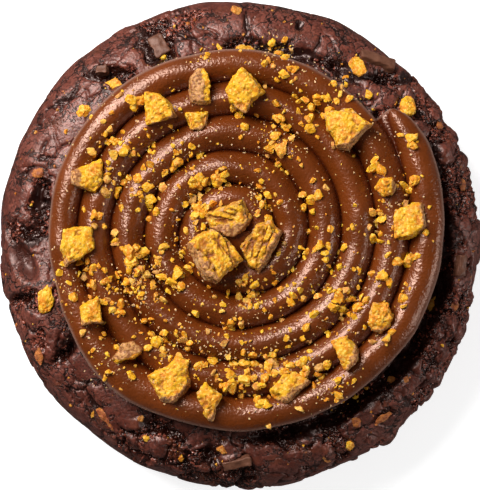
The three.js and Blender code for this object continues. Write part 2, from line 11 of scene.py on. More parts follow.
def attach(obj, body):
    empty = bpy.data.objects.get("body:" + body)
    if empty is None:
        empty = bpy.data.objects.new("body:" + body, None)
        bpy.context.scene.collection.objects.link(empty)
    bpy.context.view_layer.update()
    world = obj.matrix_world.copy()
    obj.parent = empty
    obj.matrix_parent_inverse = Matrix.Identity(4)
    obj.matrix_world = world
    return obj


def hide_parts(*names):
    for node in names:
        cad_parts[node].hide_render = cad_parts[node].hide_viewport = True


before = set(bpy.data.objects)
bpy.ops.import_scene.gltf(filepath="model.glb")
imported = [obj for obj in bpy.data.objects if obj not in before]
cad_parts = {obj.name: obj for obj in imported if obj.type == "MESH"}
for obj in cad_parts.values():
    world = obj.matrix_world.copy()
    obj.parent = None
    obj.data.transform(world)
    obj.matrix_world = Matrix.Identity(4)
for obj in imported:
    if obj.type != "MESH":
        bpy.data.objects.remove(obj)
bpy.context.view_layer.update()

MM = 0.001
RANDOM_SEED = 41

# Measures of the cookie that the solids share
COOKIE_RADIUS = 55.3
COOKIE_HEIGHT = 23
SEAT_RADIUS = 40
WIDEST_HEIGHT = 9
BASE_RADIUS = 49.5
SHOULDER_POWER = 2.6
FOOT_POWER = 2.2
OVAL_AMOUNT = 0.46
OVAL_TURN = math.radians(71)
PLATE_SIZE = 15
PLATE_RISE = 0.5
PLATE_LEVEL = 0.5
PLATE_STEP = 0.6
PLATE_WANDER = 2.2
SWELL_SIZE = 11
SWELL_RISE = 0.5
FOOT_FADE = 3
# Gaps in the crust: compass angle in degrees, plan radius, turn from the rim's own direction in degrees,
# half length, half width and depth
CREVICES = [
    (4, 47.5, 0, 7.0, 1.3, 3.4),
    (22, 48.4, 0, 6.0, 1.4, 2.6),
    (36, 51.5, 0, 3.0, 1.4, 1.6),
    (48, 51.0, -40, 5.2, 1.2, 2.8),
    (59, 46.0, 0, 3.2, 1.6, 2.6),
    (76, 45.6, 0, 10.0, 1.4, 2.4),
    (112.5, 48.6, 90, 4.4, 3.0, 3.2),
    (127.5, 48.8, 39, 4.8, 1.3, 3.4),
    (167.3, 46.9, 0, 4.2, 1.8, 3.6),
    (178, 48.6, 90, 3.4, 2.2, 1.8),
    (194, 51.2, 90, 2.4, 1.2, 2.0),
    (212, 46.9, 70, 3.4, 1.5, 3.0),
    (247, 46.0, 0, 5.0, 1.4, 2.2),
    (262, 48.8, 90, 2.6, 2.0, 2.0),
    (283, 44.8, 0, 8.0, 1.5, 2.8),
    (304, 45.2, 0, 9.0, 1.8, 4.0),
    (325, 46.2, 0, 8.0, 1.9, 4.0),
    (345, 47.0, 0, 8.0, 1.6, 3.6),
]
CREVICE_WANDER = 0.9
# Smooth dents, by the same measures
DENTS = [
    (184.6, 49.9, -27, 4.6, 2.2, 3.2),
    (322, 53.7, 0, 2.5, 1.4, 1.2),
]
DENT_STEEPNESS = 2

# Crust that is finer than the solids: cracks between the plates, and thin cracks by the same measures
PLATE_FRAY = 0.35
CRACK_DEPTH = 1.0
CRACK_WIDTH = 0.24
THIN_CRACKS = [
    (68.5, 49.4, 90, 2.6, 0.5, 1.0),
    (74.9, 51.9, 0, 1.1, 1.0, 2.2),
    (88.5, 50.5, 90, 3.4, 0.5, 1.2),
    (105, 49.2, 42, 5.0, 0.5, 1.3),
    (113, 53.2, 90, 1.6, 0.6, 1.6),
    (139.2, 50.9, 11, 2.9, 0.4, 1.0),
    (141, 52.4, 18, 4.9, 0.45, 1.2),
    (149.5, 53.4, 90, 1.2, 0.5, 1.0),
    (153.7, 49.8, 0, 1.8, 0.4, 1.0),
    (161.5, 51.7, 36, 1.8, 0.6, 1.4),
    (204, 50.4, -38, 2.8, 0.5, 1.2),
    (228.6, 49.8, 15, 6.2, 0.5, 1.2),
    (239, 51.4, 28, 3.6, 0.6, 1.0),
]
THIN_CRACK_WANDER = 0.55
HAIRLINE_SIZE = 4.6
HAIRLINE_DEPTH = 0.5
HAIRLINE_WIDTH = 0.2
HAIRLINE_WANDER = 0.5
PIT_SIZE = 1.4
PIT_DEPTH = 0.2
PLATE_GRAIN = 0.04
# Shares of a hairline, a thin crack and a pit that are cut into the mesh; the finish paints them dark at
# full depth as painted shade
HAIRLINE_CUT = 0.35
THIN_CRACK_CUT = 0.7
PIT_CUT = 0.5
# Where the crust is open and crumbly: compass angle, spread in degrees, amount; below zero is smooth
CRUMBLY_SIDES = [
    (18, 20, 0.45),
    (62, 8, 0.25),
    (80, 13, -0.6),
    (113, 6, 0.2),
    (143, 22, -0.7),
    (173, 7, 0.55),
    (195, 5, 0.5),
    (184.6, 5, -0.7),
    (215, 16, -0.5),
    (258, 22, 0.3),
    (303, 16, 0.35),
    (328, 12, 0.25),
    (347, 12, 0.3),
]
OPEN_PATCHES = 0.8
OPEN_CREVICES = 0.42
OPEN_FROM = 0.18
OPEN_FULLY = 0.34
# The side whose tone is painted darker as shade: compass angle, spread in degrees and how much tone it loses
PAINTED_SHADE_SIDE = (266, 45, 0.7)
# Crumbs of the open crust, in layers that are each half the size of the one before
CRUMBLE_SIZE = 2.0
CRUMBLE_LAYERS = 3
CRUMBLE_WEAKENING = 1.7
CRUMBLE_LEVEL = 0.3
CRUMBLE_RISE = 0.48
CRUMBLE_LOWERING = 0.15
# Crumbs are painted lighter on top and darker low down, and their seams dark, as painted shade
CRUMBLE_TONE = 0.35
CRUMBLE_SHADE = 0.72
CRUMBLE_MOTTLE = 0.6
SEAM_WIDTH = 0.11
SEAM_WEAKENING = 1.5
SEAM_SHADE = 0.6
# Clods of the open crust with splits between them
CLOD_SIZE = 5.5
CLOD_WANDER = 0.9
CLOD_RISE = 1.9
CLOD_LEVEL = 0.45
CLOD_STEP = 0.9
CLOD_GAP = 0.35
CLOD_SPLIT = 0.9
CLOD_SMOOTHNESS = 0.85
CLOD_TONE = 0.7
# How dark the finish paints each kind of gap for its depth, as painted shade
PLATE_GAP_DARKNESS = 1.4
CRUMBLE_GAP_DARKNESS = 0.7
SPLIT_DARKNESS = 0.8
CRUMB_IN_GAP = 0.5
DENT_DARKEST = 2
PROFILE_STEPS = 600
RIM_SEGMENTS = 1040
SHOULDER_SPACING = 0.31
FOOT_SPACING = 0.75
HIGHEST_CRUST = COOKIE_HEIGHT + 0.4

# Measures of the swirl that the solids share
SWIRL_CENTRE = np.array([-1.0, 2.9, 0])
SWIRL_START = 8.9
SWIRL_PITCH = 7.69
SWIRL_TURNS = 5.107
# Where the outer edge of the swirl stands out or draws in: compass angle and spread in degrees, amount
EDGE_WAVES = [
    (232, 22, 1.4),
    (190, 30, -1.2),
    (150, 24, -0.6),
    (252, 12, -0.6),
    (105, 22, -0.5),
    (26, 14, 0.9),
]
WAVE_ONSET = 1.4
GROOVE_HEIGHT = 3.2
CREST_HEIGHT = 6.5
ROPE_POWER = 1.7
EDGE_POWER = 1.0
TAIL_TAPER = 0.057
TAIL_MIDDLE = 0.5
BLOB_OFFSET = 0.6
WALL_LEVELS = [(0.06, 2.8), (0.25, 1.6), (1.1, 0.3)]
# Finer measures of the swirl: sways and swells, a painted reflection along the outer edge, painted shade in
# the grooves and the foot in the dough
SWAY = 0.28
SWAY_LENGTH = 10
ROPE_SWELL = 0.3
ROPE_SWELL_LENGTH = 7
EDGE_LINE = 0.45
GROOVE_SHADE = 0.9
WALL_FOOT_TUCK = 2.4
WALL_FOOT_SINK = 0.6
STEPS_PER_TURN = 400
ROPE_SIDES = 24
BLOB_RINGS = 12

# Looks of the large toffee pieces: side that the crust is on in degrees, share free of crust, warmth
CHUNK_LOOKS = [
    (315, 0.9, 0.2),
    (190, 0.25, 0.3),
    (300, 0.9, 0.35),
    (270, 0.95, 0.1),
    (300, 0.78, 0.3),
    (200, 0.66, 0.35),
    (250, 0.95, 0.1),
    (270, 0.9, 0.2),
    (100, 0.3, 0.45),
    (290, 0.8, 0.25),
    (300, 0.9, 0.25),
    (305, 0.66, 0.2),
    (330, 0.8, 0.4),
    (270, 0.95, 0.8),
    (0, 0.9, 0.35),
    (0, 0.95, 0.6),
    (220, 0.72, 0.15),
    (280, 0.70, 0.15),
    (335, 0.82, 0.20),
]
CHUNK_VOXEL = 0.22
CHUNK_RELIEF = 0.37
CHUNK_LIFT = 0.15
CRUST_LIFT = 0.3
CRUST_LEAN = 0.14
PORE_SIZE = 0.8
PORE_CUT = 0.7
PALE_SPECKS = 0.55
# The last pieces broke along their fibres: direction in degrees, and how far their sides are crust
FIBRES = [(-60, 0.25), (-15, 0.5), (69, 0.5)]
FIBRE_SIZE = 1.5
FIBRE_DRAW = 0.78
SLIT_WIDTH = 0.4
SLIT_CUT = 1.6

# Drifts of toffee crumbs: plan place of the largest crumb, its size, the drift's spread and its count
CRUMB_DRIFTS = [
    (-24.6, -2.1, 4.6, 4.0, 9),
    (-14.1, -6.8, 3.6, 3.0, 6),
    (-30.3, -8.4, 3.0, 4.2, 9),
    (-27.0, -13.8, 2.8, 4.4, 9),
    (-19.2, -22.6, 3.4, 3.0, 8),
    (-6.4, -26.8, 3.2, 2.6, 6),
    (1.2, -27.6, 3.2, 3.8, 10),
    (7.4, -27.2, 3.8, 2.8, 8),
    (-1.7, -32.6, 4.2, 2.6, 5),
    (5.6, -36.4, 3.6, 2.4, 4),
    (-3.2, -19.2, 3.0, 3.4, 4),
    (3.0, -11.8, 3.2, 2.4, 6),
    (11.6, -13.0, 2.8, 3.4, 6),
    (22.6, -12.2, 3.2, 3.2, 9),
    (26.7, -14.4, 3.0, 3.0, 6),
    (32.6, -7.8, 3.6, 2.4, 4),
    (38.2, -3.6, 4.4, 2.8, 6),
    (36.4, -12.6, 2.8, 3.0, 4),
    (39.6, 14.2, 3.6, 2.4, 5),
    (30.8, 17.2, 4.2, 2.0, 4),
    (38.8, 24.0, 3.2, 3.0, 5),
    (16.4, 9.6, 3.2, 4.2, 6),
    (18.6, -0.4, 3.0, 4.0, 6),
    (9.4, 21.4, 4.0, 2.8, 7),
    (10.4, 26.8, 3.2, 2.4, 4),
    (16.2, 26.2, 2.8, 3.0, 4),
    (14.8, 33.0, 3.0, 2.6, 6),
    (20.0, 33.4, 3.0, 2.8, 6),
    (10.0, 38.4, 3.0, 2.6, 6),
    (-5.0, 14.4, 3.6, 2.8, 8),
    (-10.6, 10.4, 3.2, 2.8, 6),
    (-14.2, 18.6, 3.0, 3.4, 8),
    (-20.4, 10.4, 3.4, 3.6, 10),
    (-26.4, 14.2, 3.0, 3.8, 8),
    (-24.6, 33.0, 4.0, 2.6, 6),
    (-28.4, 23.0, 2.8, 3.2, 6),
    (-33.0, 6.4, 3.0, 3.0, 7),
    (6.8, 8.4, 2.6, 2.6, 5),
]
CRUMB_SEED = 1907
CRUMB_SINK = 0.32
CRUMB_THINNING = 0.8
CRUMB_WARMTH = (-0.1, 1.0)
CRUSTED_CRUMBS = 0.05
CRUMB_CRUST = 0.7
# Where finer crumbs lie thick: plan place, spread and count
THICK_PLACES = [
    (-22, -9, 6, 70),
    (-10, 8, 5, 30),
    (-1, -27, 8, 60),
    (-15, -24, 6, 36),
    (8, 23, 6, 30),
    (24, -13, 7, 36),
    (35, 6, 6, 30),
    (-27, 18, 7, 36),
    (-14, 19, 6, 30),
    (14, -3, 8, 30),
    (20, 30, 7, 26),
    (2, -12, 6, 30),
    (-36, -9, 5, 24),
    (-29, -26, 5, 20),
    (13, -29, 7, 50),
    (21, -32, 5, 20),
    (4, 11, 3, 14),
    (-12, -2, 3, 16),
    (9, 43.5, 3, 16),
    (-8, 42.5, 2, 6),
]
THICK_SPREAD = 0.7
SCATTER_RADIUS = 43
FINE_SHARE = 1.3
LOOSE_CRUMBS = 260
FINE_SIZES = (0.5, 2.8)
DUST_SHARE = 3.0
DUST_GRAINS = 1000
DUST_SIZES = (0.2, 0.7)
# Broken lumps: a ball one unit across with knobs, cut flat on some sides
LUMP_SIDES = 7
LUMP_KNOBS = 4.8
LUMP_KNOBBINESS = 0.24
LUMP_ROUGHNESS = 0.04
NEAREST_CUT = 0.14
FARTHEST_CUT = 0.46

# Chocolate baked into the crust: compass angle, plan radius, length, width, height, turn from the radius
CHOCOLATE_PIECES = [
    (112.2, 48.2, 5.4, 3.5, 3.6, 6),
    (128.4, 50.2, 2.8, 1.9, 2.4, 60),
    (53.1, 52.0, 8.5, 2.4, 2.6, 113),
    (269.4, 49.7, 6.8, 2.2, 2.2, 105),
    (354.3, 50.4, 4.8, 2.2, 2.4, 88),
]
BLOCK_CUTS = 13
BLOCK_WEAR = 0.1
BLOCK_WANDER = 0.25
# Toffee bits caught in the crust: compass angle, plan radius, length, width, turn from the radius, and how
# far they have melted into caramel
RIM_BITS = [
    (195.7, 46.2, 5.8, 4.0, 80, 0.0),
    (39, 49.4, 4.6, 4.0, 50, 0.0),
    (56, 48.5, 4.4, 3.4, 80, 0.1),
    (139.6, 46.4, 3.3, 2.7, 60, 0.0),
    (128.8, 45.8, 4.4, 3.2, 80, 0.1),
    (341.8, 46.1, 5.0, 2.4, 80, 0.5),
    (232.6, 50.4, 5.8, 2.6, 70, 1.0),
    (209.8, 52.3, 4.4, 2.6, 50, 1.0),
    (90.5, 53.3, 3.2, 2.6, 30, 0.7),
    (344, 50.9, 3.0, 2.2, 80, 1.0),
    (309.7, 51.4, 4.2, 1.6, 80, 1.0),
    (298.5, 52.3, 2.6, 2.0, 20, 0.0),
    (103.3, 51.6, 1.8, 1.6, 0, 1.0),
    (160.6, 48.7, 2.6, 2.2, 0, 1.0),
    (14.8, 52.6, 2.6, 2.0, 60, 1.0),
    (30.8, 53.1, 2.6, 1.8, 40, 1.0),
    (321, 48.9, 1.8, 1.6, 0, 1.0),
    (318, 46.6, 2.2, 1.8, 30, 0.7),
    (303.3, 48.7, 2.6, 2.0, 20, 1.0),
    (291.8, 53.1, 2.6, 1.0, 20, 0.8),
    (265.2, 47.0, 2.6, 1.8, 60, 0.6),
    (254.7, 50.6, 1.6, 1.2, 30, 0.2),
    (244.5, 49.2, 1.6, 1.1, 80, 0.2),
    (240.7, 45.9, 1.8, 1.4, 0, 0.8),
    (229.2, 51.4, 1.9, 0.9, 20, 0.4),
    (88.4, 44.2, 4.2, 2.4, 90, 0.3),
]
RIM_BIT_HEIGHT = 0.8
RIM_BIT_GROWTH = 1.15
RIM_BIT_KNOBBINESS = 0.06
RIM_BIT_NEAREST_CUT = 0.22
RIM_BIT_WANDER = 0.16
MELT_FLATTENING = 0.4
PIECE_SINK = 0.45
RIM_RADII = (42, 54.5)
RIM_FLECKS = 110
FLECK_SIZES = (0.3, 1.1)
FLECK_CARAMEL = (0, 1.2)
DOUGH_CRUMBS = 6000
DOUGH_CRUMB_SIZES = (0.3, 1.3)
DOUGH_CRUMB_ODDS = (0.3, 1.4)

# Colours of the finishes, as red, green and blue light
PLATE_DARK = (0.091, 0.0180, 0.0098)
PLATE_LIGHT = (0.161, 0.0402, 0.0248)
PLATE_PORE = (0.022, 0.0045, 0.0022)
PLATE_DUST = (0.190, 0.066, 0.046)
PLATE_STAIN = (0.034, 0.0066, 0.0034)
PAINTED_CRACK_SHADE = (0.010, 0.0022, 0.0012)
CRUMBLE_DARK = (0.012, 0.0020, 0.0010)
CRUMBLE_LIGHT = (0.240, 0.0580, 0.0340)
CRUST_WARM = (0.130, 0.030, 0.011)
PAINTED_DENT_SHADE = (0.045, 0.0090, 0.0046)
PAINTED_GAP_SHADE = (0.015, 0.0025, 0.0012)
DOUGH_SHEEN = (1.0, 0.76, 0.69, 1)
GANACHE_DARK = (0.104, 0.0202, 0.0018)
GANACHE_LIGHT = (0.139, 0.0282, 0.0036)
PAINTED_GROOVE_SHADE = (0.058, 0.0072, 0.0004)
PAINTED_EDGE_REFLECTION = (0.24, 0.135, 0.10)
GANACHE_SHEEN = (1.0, 0.68, 0.54, 1)
TOFFEE_GOLD = (0.70, 0.350, 0.008)
TOFFEE_ORANGE = (0.60, 0.200, 0.005)
TOFFEE_LIGHT = (0.80, 0.53, 0.10)
PAINTED_PORE_SHADE = (0.26, 0.070, 0.005)
TOFFEE_CRUST_DARK = (0.22, 0.074, 0.020)
TOFFEE_CRUST_LIGHT = (0.53, 0.255, 0.085)
CARAMEL_DARK = (0.24, 0.060, 0.018)
CARAMEL_LIGHT = (0.42, 0.135, 0.028)
PAINTED_SLIT_SHADE = (0.17, 0.038, 0.004)
TOFFEE_CREAM = (0.60, 0.38, 0.20)
TOFFEE_SCATTER = (1.0, 0.5, 0.08)
CHOCOLATE_DARK = (0.085, 0.030, 0.016)
CHOCOLATE_LIGHT = (0.140, 0.056, 0.032)
CHOCOLATE_SHEEN = (1.0, 0.80, 0.72, 1)
WHITE = (1, 1, 1, 1)
FLOOR_GREY = (0.5, 0.5, 0.5, 1)

# Studio, in metres: the world's light below and above the horizon, the floor and the camera
LIGHT_BELOW = 0.07
LIGHT_ABOVE = 0.04
HORIZON = 0.1
FLOOR_HALF = 3
FLOOR_GLOW = 0.8
SENSOR = 36
CAMERA_DISTANCE = 2.5
CAMERA_PLACE = (0.0001, -0.0003, 2.52)
PICTURE_HEIGHT = 0.1117
CAMERA_REACH = 20

# Numbers that make the noise, the same ones as for the solids
LATTICE_WAVES = np.array([127.1, 311.7, 74.7])
SALT_WAVE = 53.3
FAR_DIGITS = 43758.5453

# Height from which the top of a surface is looked for
RAY_START = 100


# Numbers and noise

def random_from(seed):
    """A repeatable stream of numbers from 0 to 1, the same one that the solids are made with."""
    largest = 2147483647
    state = seed * 1000003 % largest
    while True:
        state = state * 16807 % largest
        yield state / largest


def smooth_step(low, high, value):
    """0 at low, 1 at high and a smooth rise between them."""
    share = np.clip((value - low) / (high - low), 0, 1)
    return share * share * (3 - 2 * share)


def compass(points):
    """Compass angles of points in degrees, counted from +X toward +Y."""
    return np.degrees(np.arctan2(points[:, 1], points[:, 0]))


def degrees_off(angles, centre):
    """Compass angles measured from a centre, from -180 to 180 degrees."""
    return (angles - centre + 180) % 360 - 180


def bell(angles, centre, spread):
    """1 at a compass angle, fading away over a spread in degrees."""
    return np.exp(-((degrees_off(angles, centre) / spread) ** 2))


def plan_direction(degrees):
    """The level direction at a compass angle."""
    return np.array([math.cos(math.radians(degrees)), math.sin(math.radians(degrees)), 0])


def plan_places(radius, angle):
    """Plan places at radii and angles in radians."""
    return np.stack([radius * np.cos(angle), radius * np.sin(angle)], axis=1)


def lattice_value(corners, salt):
    """A repeatable number from 0 to 1 for each lattice point; each salt gives another pattern."""
    wave = np.sin(corners @ LATTICE_WAVES + salt * SALT_WAVE) * FAR_DIGITS
    return wave - np.floor(wave)


def nearest_two(points, cell):
    """Distances to the nearest two of scattered points, one to a cell, and the nearest one's number."""
    scaled = points / cell
    home = np.floor(scaled)
    first = np.full(len(points), np.inf)
    second = np.full(len(points), np.inf)
    own = np.zeros(len(points))
    for step in itertools.product((-1, 0, 1), repeat=3):
        corner = home + step
        seed = corner + np.stack([lattice_value(corner, salt) for salt in (1, 2, 3)], axis=1)
        distance = np.linalg.norm(seed - scaled, axis=1)
        own = np.where(distance < first, lattice_value(corner, 4), own)
        second = np.minimum(second, np.maximum(first, distance))
        first = np.minimum(first, distance)
    return first * cell, second * cell, own


def soft_noise(points, cell, salt):
    """Smooth noise from -1 to 1."""
    scaled = points / cell
    home = np.floor(scaled)
    part = scaled - home
    ease = part * part * (3 - 2 * part)
    total = np.zeros(len(points))
    for step in itertools.product((0, 1), repeat=3):
        weight = np.prod(np.where(step, ease, 1 - ease), axis=1)
        total += weight * lattice_value(home + step, salt)
    return 2 * total - 1


def layered_noise(points, cell, layers, salt):
    """Noise with finer layers, each half as strong as the one before."""
    return sum(soft_noise(points, cell / 2**n, salt + n) / 2**n for n in range(layers))


def wander(points, cell, amount, salt):
    """Points moved about smoothly, so that a pattern over them loses its straight lines."""
    moves = [layered_noise(points, cell, 2, salt + 10 * axis) for axis in range(3)]
    return points + amount * np.stack(moves, axis=1)


# Meshes

def triangles_of(rows):
    """Triangles of a grid of vertex numbers, without those that have shrunk to nothing."""
    a, b, c, d = rows[:-1, :-1], rows[1:, :-1], rows[1:, 1:], rows[:-1, 1:]
    halves = [np.stack(corners, axis=-1).reshape(-1, 3) for corners in ((a, b, c), (a, c, d))]
    faces = np.concatenate(halves)
    repeats = (faces == np.roll(faces, 1, axis=1)).any(axis=1)
    return faces[~repeats]


def fan(apex, loop):
    """Triangles from one vertex to each edge of a loop."""
    return np.stack([np.full(len(loop), apex), loop, np.roll(loop, -1)], axis=1)


def joined(shapes):
    """Several shapes as one, each given as points and triangles."""
    starts = np.cumsum([0] + [len(points) for points, _ in shapes])
    points = np.concatenate([points for points, _ in shapes])
    faces = np.concatenate([faces + start for (_, faces), start in zip(shapes, starts)])
    return points, faces


def surface_of(*shapes):
    """A tree for finding the top of one or more shapes."""
    points, faces = joined(shapes)
    return BVHTree.FromPolygons(points.tolist(), faces.tolist())


def top_at(tree, x, y):
    """Height of a surface at a plan place, or None beside it."""
    place, _, _, _ = tree.ray_cast(Vector((x, y, RAY_START)), Vector((0, 0, -1)))
    return None if place is None else place.z


def shape_from(mesh):
    """Points and triangles of an edit mesh, which is then freed."""
    mesh.verts.index_update()
    points = np.array([vertex.co for vertex in mesh.verts])
    faces = np.array([[vertex.index for vertex in face.verts] for face in mesh.faces])
    mesh.free()
    return points, faces


def read_threes(items, name, kind):
    """The values of a mesh's items that come in threes."""
    values = np.zeros(len(items) * 3, dtype=kind)
    items.foreach_get(name, values)
    return values.reshape(-1, 3)


def add_object(name, data):
    """A new object in the scene."""
    thing = bpy.data.objects.new(name, data)
    bpy.context.scene.collection.objects.link(thing)
    return thing


def make_piece(name, shape, finish, layers=None, smooth=True):
    """A mesh piece of the cookie, with a float layer on its points for each value that its finish reads."""
    points, faces = shape
    mesh = bpy.data.meshes.new(name)
    mesh.from_pydata((points * MM).tolist(), [], faces.tolist())
    mesh.polygons.foreach_set("use_smooth", np.full(len(mesh.polygons), smooth))
    for layer, values in (layers or {}).items():
        attribute = mesh.attributes.new(layer, "FLOAT", "POINT")
        attribute.data.foreach_set("value", np.asarray(values, dtype=np.float32))
    mesh.materials.append(finish)
    piece = add_object(name, mesh)
    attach(piece, "root")
    return piece


# Finishes

class Finish:
    """A material with one principled surface, and short ways to add the nodes that feed it."""

    def __init__(self, name):
        self.material = bpy.data.materials.new(name)
        self.material.use_nodes = True
        self.tree = self.material.node_tree
        self.surface = self.tree.nodes["Principled BSDF"]
        self.place = self.add("TexCoord").outputs["Object"]

    def feed(self, socket, value):
        """A socket takes a value of its own or a link from another node."""
        if isinstance(value, bpy.types.NodeSocket):
            self.tree.links.new(value, socket)
        else:
            socket.default_value = value

    def set(self, **values):
        """Inputs of the surface by their names, with _ for a space."""
        for name, value in values.items():
            self.feed(self.surface.inputs[name.replace("_", " ")], value)

    def add(self, kind, inputs=None, **settings):
        """A new node of a kind, with its settings, and with values or links for its inputs."""
        node = self.tree.nodes.new("ShaderNode" + kind)
        for name, value in settings.items():
            setattr(node, name, value)
        for name, value in (inputs or {}).items():
            self.feed(node.inputs[name], value)
        return node

    def layer(self, name):
        """A float layer of the piece that wears the finish."""
        return self.add("Attribute", attribute_name=name).outputs["Fac"]

    def noise_node(self, size, detail):
        inputs = {"Vector": self.place, "Scale": 1 / (size * MM), "Detail": detail}
        return self.add("TexNoise", inputs)

    def noise(self, size, detail=3):
        """Noise from 0 to 1 with features of a size in millimetres."""
        return self.noise_node(size, detail).outputs[0]

    def span(self, value, low, high, start=0.0, end=1.0):
        """A value's place between low and high, as a number from start to end."""
        inputs = {"Value": value, "From Min": low, "From Max": high, "To Min": start, "To Max": end}
        return self.add("MapRange", inputs, interpolation_type="SMOOTHSTEP").outputs[0]

    def patches(self, size, low, high, start=0.0, end=1.0, detail=3):
        """Noise of a size in millimetres: start where it is below low, end where it is above high."""
        return self.span(self.noise(size, detail), low, high, start, end)

    def cracks(self, size, width, bend):
        """Lines between cells of a size, of a width and bent by an amount in millimetres: 1 on a line."""
        sway = self.noise_node(size=1.4, detail=2).outputs["Color"]
        moves = {0: sway, 1: (bend * MM,) * 3, 2: self.place}
        moved = self.add("VectorMath", moves, operation="MULTIPLY_ADD").outputs[0]
        inputs = {"Vector": moved, "Scale": 1 / (size * MM)}
        cells = self.add("TexVoronoi", inputs, feature="DISTANCE_TO_EDGE")
        return self.span(cells.outputs["Distance"], 0.3 * width / size, width / size, 1, 0)

    def combine(self, operation, first, second):
        """One number from two, by an operation such as ADD."""
        return self.add("Math", {0: first, 1: second}, operation=operation).outputs[0]

    def blend(self, share, first, second):
        """A colour between two, given as light values or as colours made before."""
        first, second = [(*given, 1) if isinstance(given, tuple) else given for given in (first, second)]
        return self.add("Mix", {0: share, 6: first, 7: second}, data_type="RGBA").outputs[2]

    def bump(self, height, depth, strength=1.0, under=None):
        """Fine relief of a depth in millimetres, over another one if given."""
        inputs = {"Strength": strength, "Distance": depth * MM, "Height": height}
        if under is not None:
            inputs["Normal"] = under
        return self.add("Bump", inputs).outputs[0]


def crack_lines(finish):
    """Thin and broad cracks over parts of the plates, painted black as shade: 1 on a line."""
    thin = finish.combine("MULTIPLY", finish.cracks(4.4, 0.2, 2.8), finish.patches(4, 0.44, 0.52))
    broad = finish.combine("MULTIPLY", finish.cracks(9, 0.42, 4.4), finish.patches(7, 0.40, 0.48))
    return finish.combine("MAXIMUM", thin, broad)


def plate_colour(finish, tone, crack):
    """Dull reddish plates with dark pores, pale dust, dark stains, and cracks painted black as shade."""
    blotch = finish.patches(4, 0.35, 0.65, -0.3, 0.7)
    blotch = finish.combine("ADD", blotch, finish.span(tone, -0.6, 1, -0.36, 0.6))
    colour = finish.blend(blotch, PLATE_DARK, PLATE_LIGHT)
    colour = finish.blend(finish.patches(0.6, 0.34, 0.44, 0.8, 0, detail=2), colour, PLATE_PORE)
    colour = finish.blend(finish.patches(0.5, 0.56, 0.68, 0, 0.5, detail=2), colour, PLATE_DUST)
    colour = finish.blend(finish.patches(0.7, 0.36, 0.56, 0.6, 0, detail=1), colour, PLATE_STAIN)
    # The cracks are painted black as shade.
    return finish.blend(crack, colour, PAINTED_CRACK_SHADE)


def crumble_colour(finish, tone):
    """Crumbs from near black to reddish brown, darker where the tone holds painted shade."""
    speck = finish.patches(0.55, 0.45, 0.55, -0.5, 0.7, detail=2)
    speck = finish.combine("ADD", speck, finish.span(tone, -0.6, 1, -0.48, 0.8))
    return finish.blend(speck, CRUMBLE_DARK, CRUMBLE_LIGHT)


def dough_relief(finish, crumbly, dent, crack):
    """Grain that is strongest where the crust crumbles and weak in the dents, with cracks cut into it."""
    smoother = finish.span(dent, 0, 1, 0, -0.3)
    uneven = finish.combine("ADD", finish.span(crumbly, 0, 1, 0.16, 1.0), smoother)
    sharp = finish.combine("ADD", finish.span(crumbly, 0, 1, 0.4, 1.0), smoother)
    grain = finish.bump(finish.noise(0.9, 2), 0.5, uneven)
    fine = finish.bump(finish.noise(0.6, 1), 0.28, sharp, grain)
    return finish.bump(finish.span(crack, 0, 1, 1, 0), 0.25, 0.8, fine)


def dough_roughness(finish, crumbly, hollow):
    """Dull plates, and more gloss on the crumbs and in the gaps."""
    rough = finish.patches(1.6, 0.3, 0.7, 0.38, 0.48)
    rough = finish.combine("ADD", rough, finish.span(crumbly, 0, 1, 0, -0.18))
    return finish.combine("ADD", rough, finish.span(hollow, 0.2, 0.9, 0, -0.06))


def dough_finish():
    """Baked chocolate dough: dull reddish plates, with painted shade black in the gaps and cracks and darker
    in the dents, and dark where it crumbles, partly as painted shade low between the crumbs.
    """
    finish = Finish("baked dough")
    tone = finish.layer("tone")
    crumbly = finish.layer("crumbly")
    dent = finish.layer("dent")
    crack = crack_lines(finish)
    ragged = finish.patches(0.7, 0.3, 0.7, -0.35, 0.35, detail=2)
    hollow = finish.span(finish.combine("ADD", finish.layer("gap"), ragged), 0.6, 0.85)
    colour = finish.blend(crumbly, plate_colour(finish, tone, crack), crumble_colour(finish, tone))
    colour = finish.blend(finish.patches(5, 0.56, 0.70, 0, 0.5), colour, CRUST_WARM)
    # The dents are painted darker as shade.
    colour = finish.blend(finish.span(dent, 0, 1, 0, 0.85), colour, PAINTED_DENT_SHADE)
    # The gaps are painted black as shade.
    colour = finish.blend(hollow, colour, PAINTED_GAP_SHADE)
    finish.set(Base_Color=colour, Roughness=dough_roughness(finish, crumbly, hollow))
    finish.set(Normal=dough_relief(finish, crumbly, dent, crack))
    finish.set(Specular_IOR_Level=0.70, Specular_Tint=DOUGH_SHEEN)
    return finish.material


def ganache_finish():
    """Piped milk chocolate with a satin gloss and a fine grain, painted shade in the grooves and a painted
    reflection along the outer edge.
    """
    finish = Finish("piped chocolate")
    crest = finish.blend(finish.patches(7, 0.3, 0.7), GANACHE_DARK, GANACHE_LIGHT)
    # The grooves are painted darker as shade.
    colour = finish.blend(finish.layer("groove"), crest, PAINTED_GROOVE_SHADE)
    # A painted reflection runs along the outer edge.
    colour = finish.blend(finish.span(finish.layer("edge"), 0, 1, 0, 0.8), colour, PAINTED_EDGE_REFLECTION)
    grain = finish.bump(finish.noise(1.5, 2), 0.11, 0.9)
    fine = finish.bump(finish.noise(0.6, 1), 0.16, 0.9, grain)
    rough = finish.patches(3, 0.3, 0.7, 0.26, 0.34)
    finish.set(Base_Color=colour, Roughness=rough, Normal=fine)
    finish.set(Specular_IOR_Level=0.85, Specular_Tint=GANACHE_SHEEN)
    return finish.material


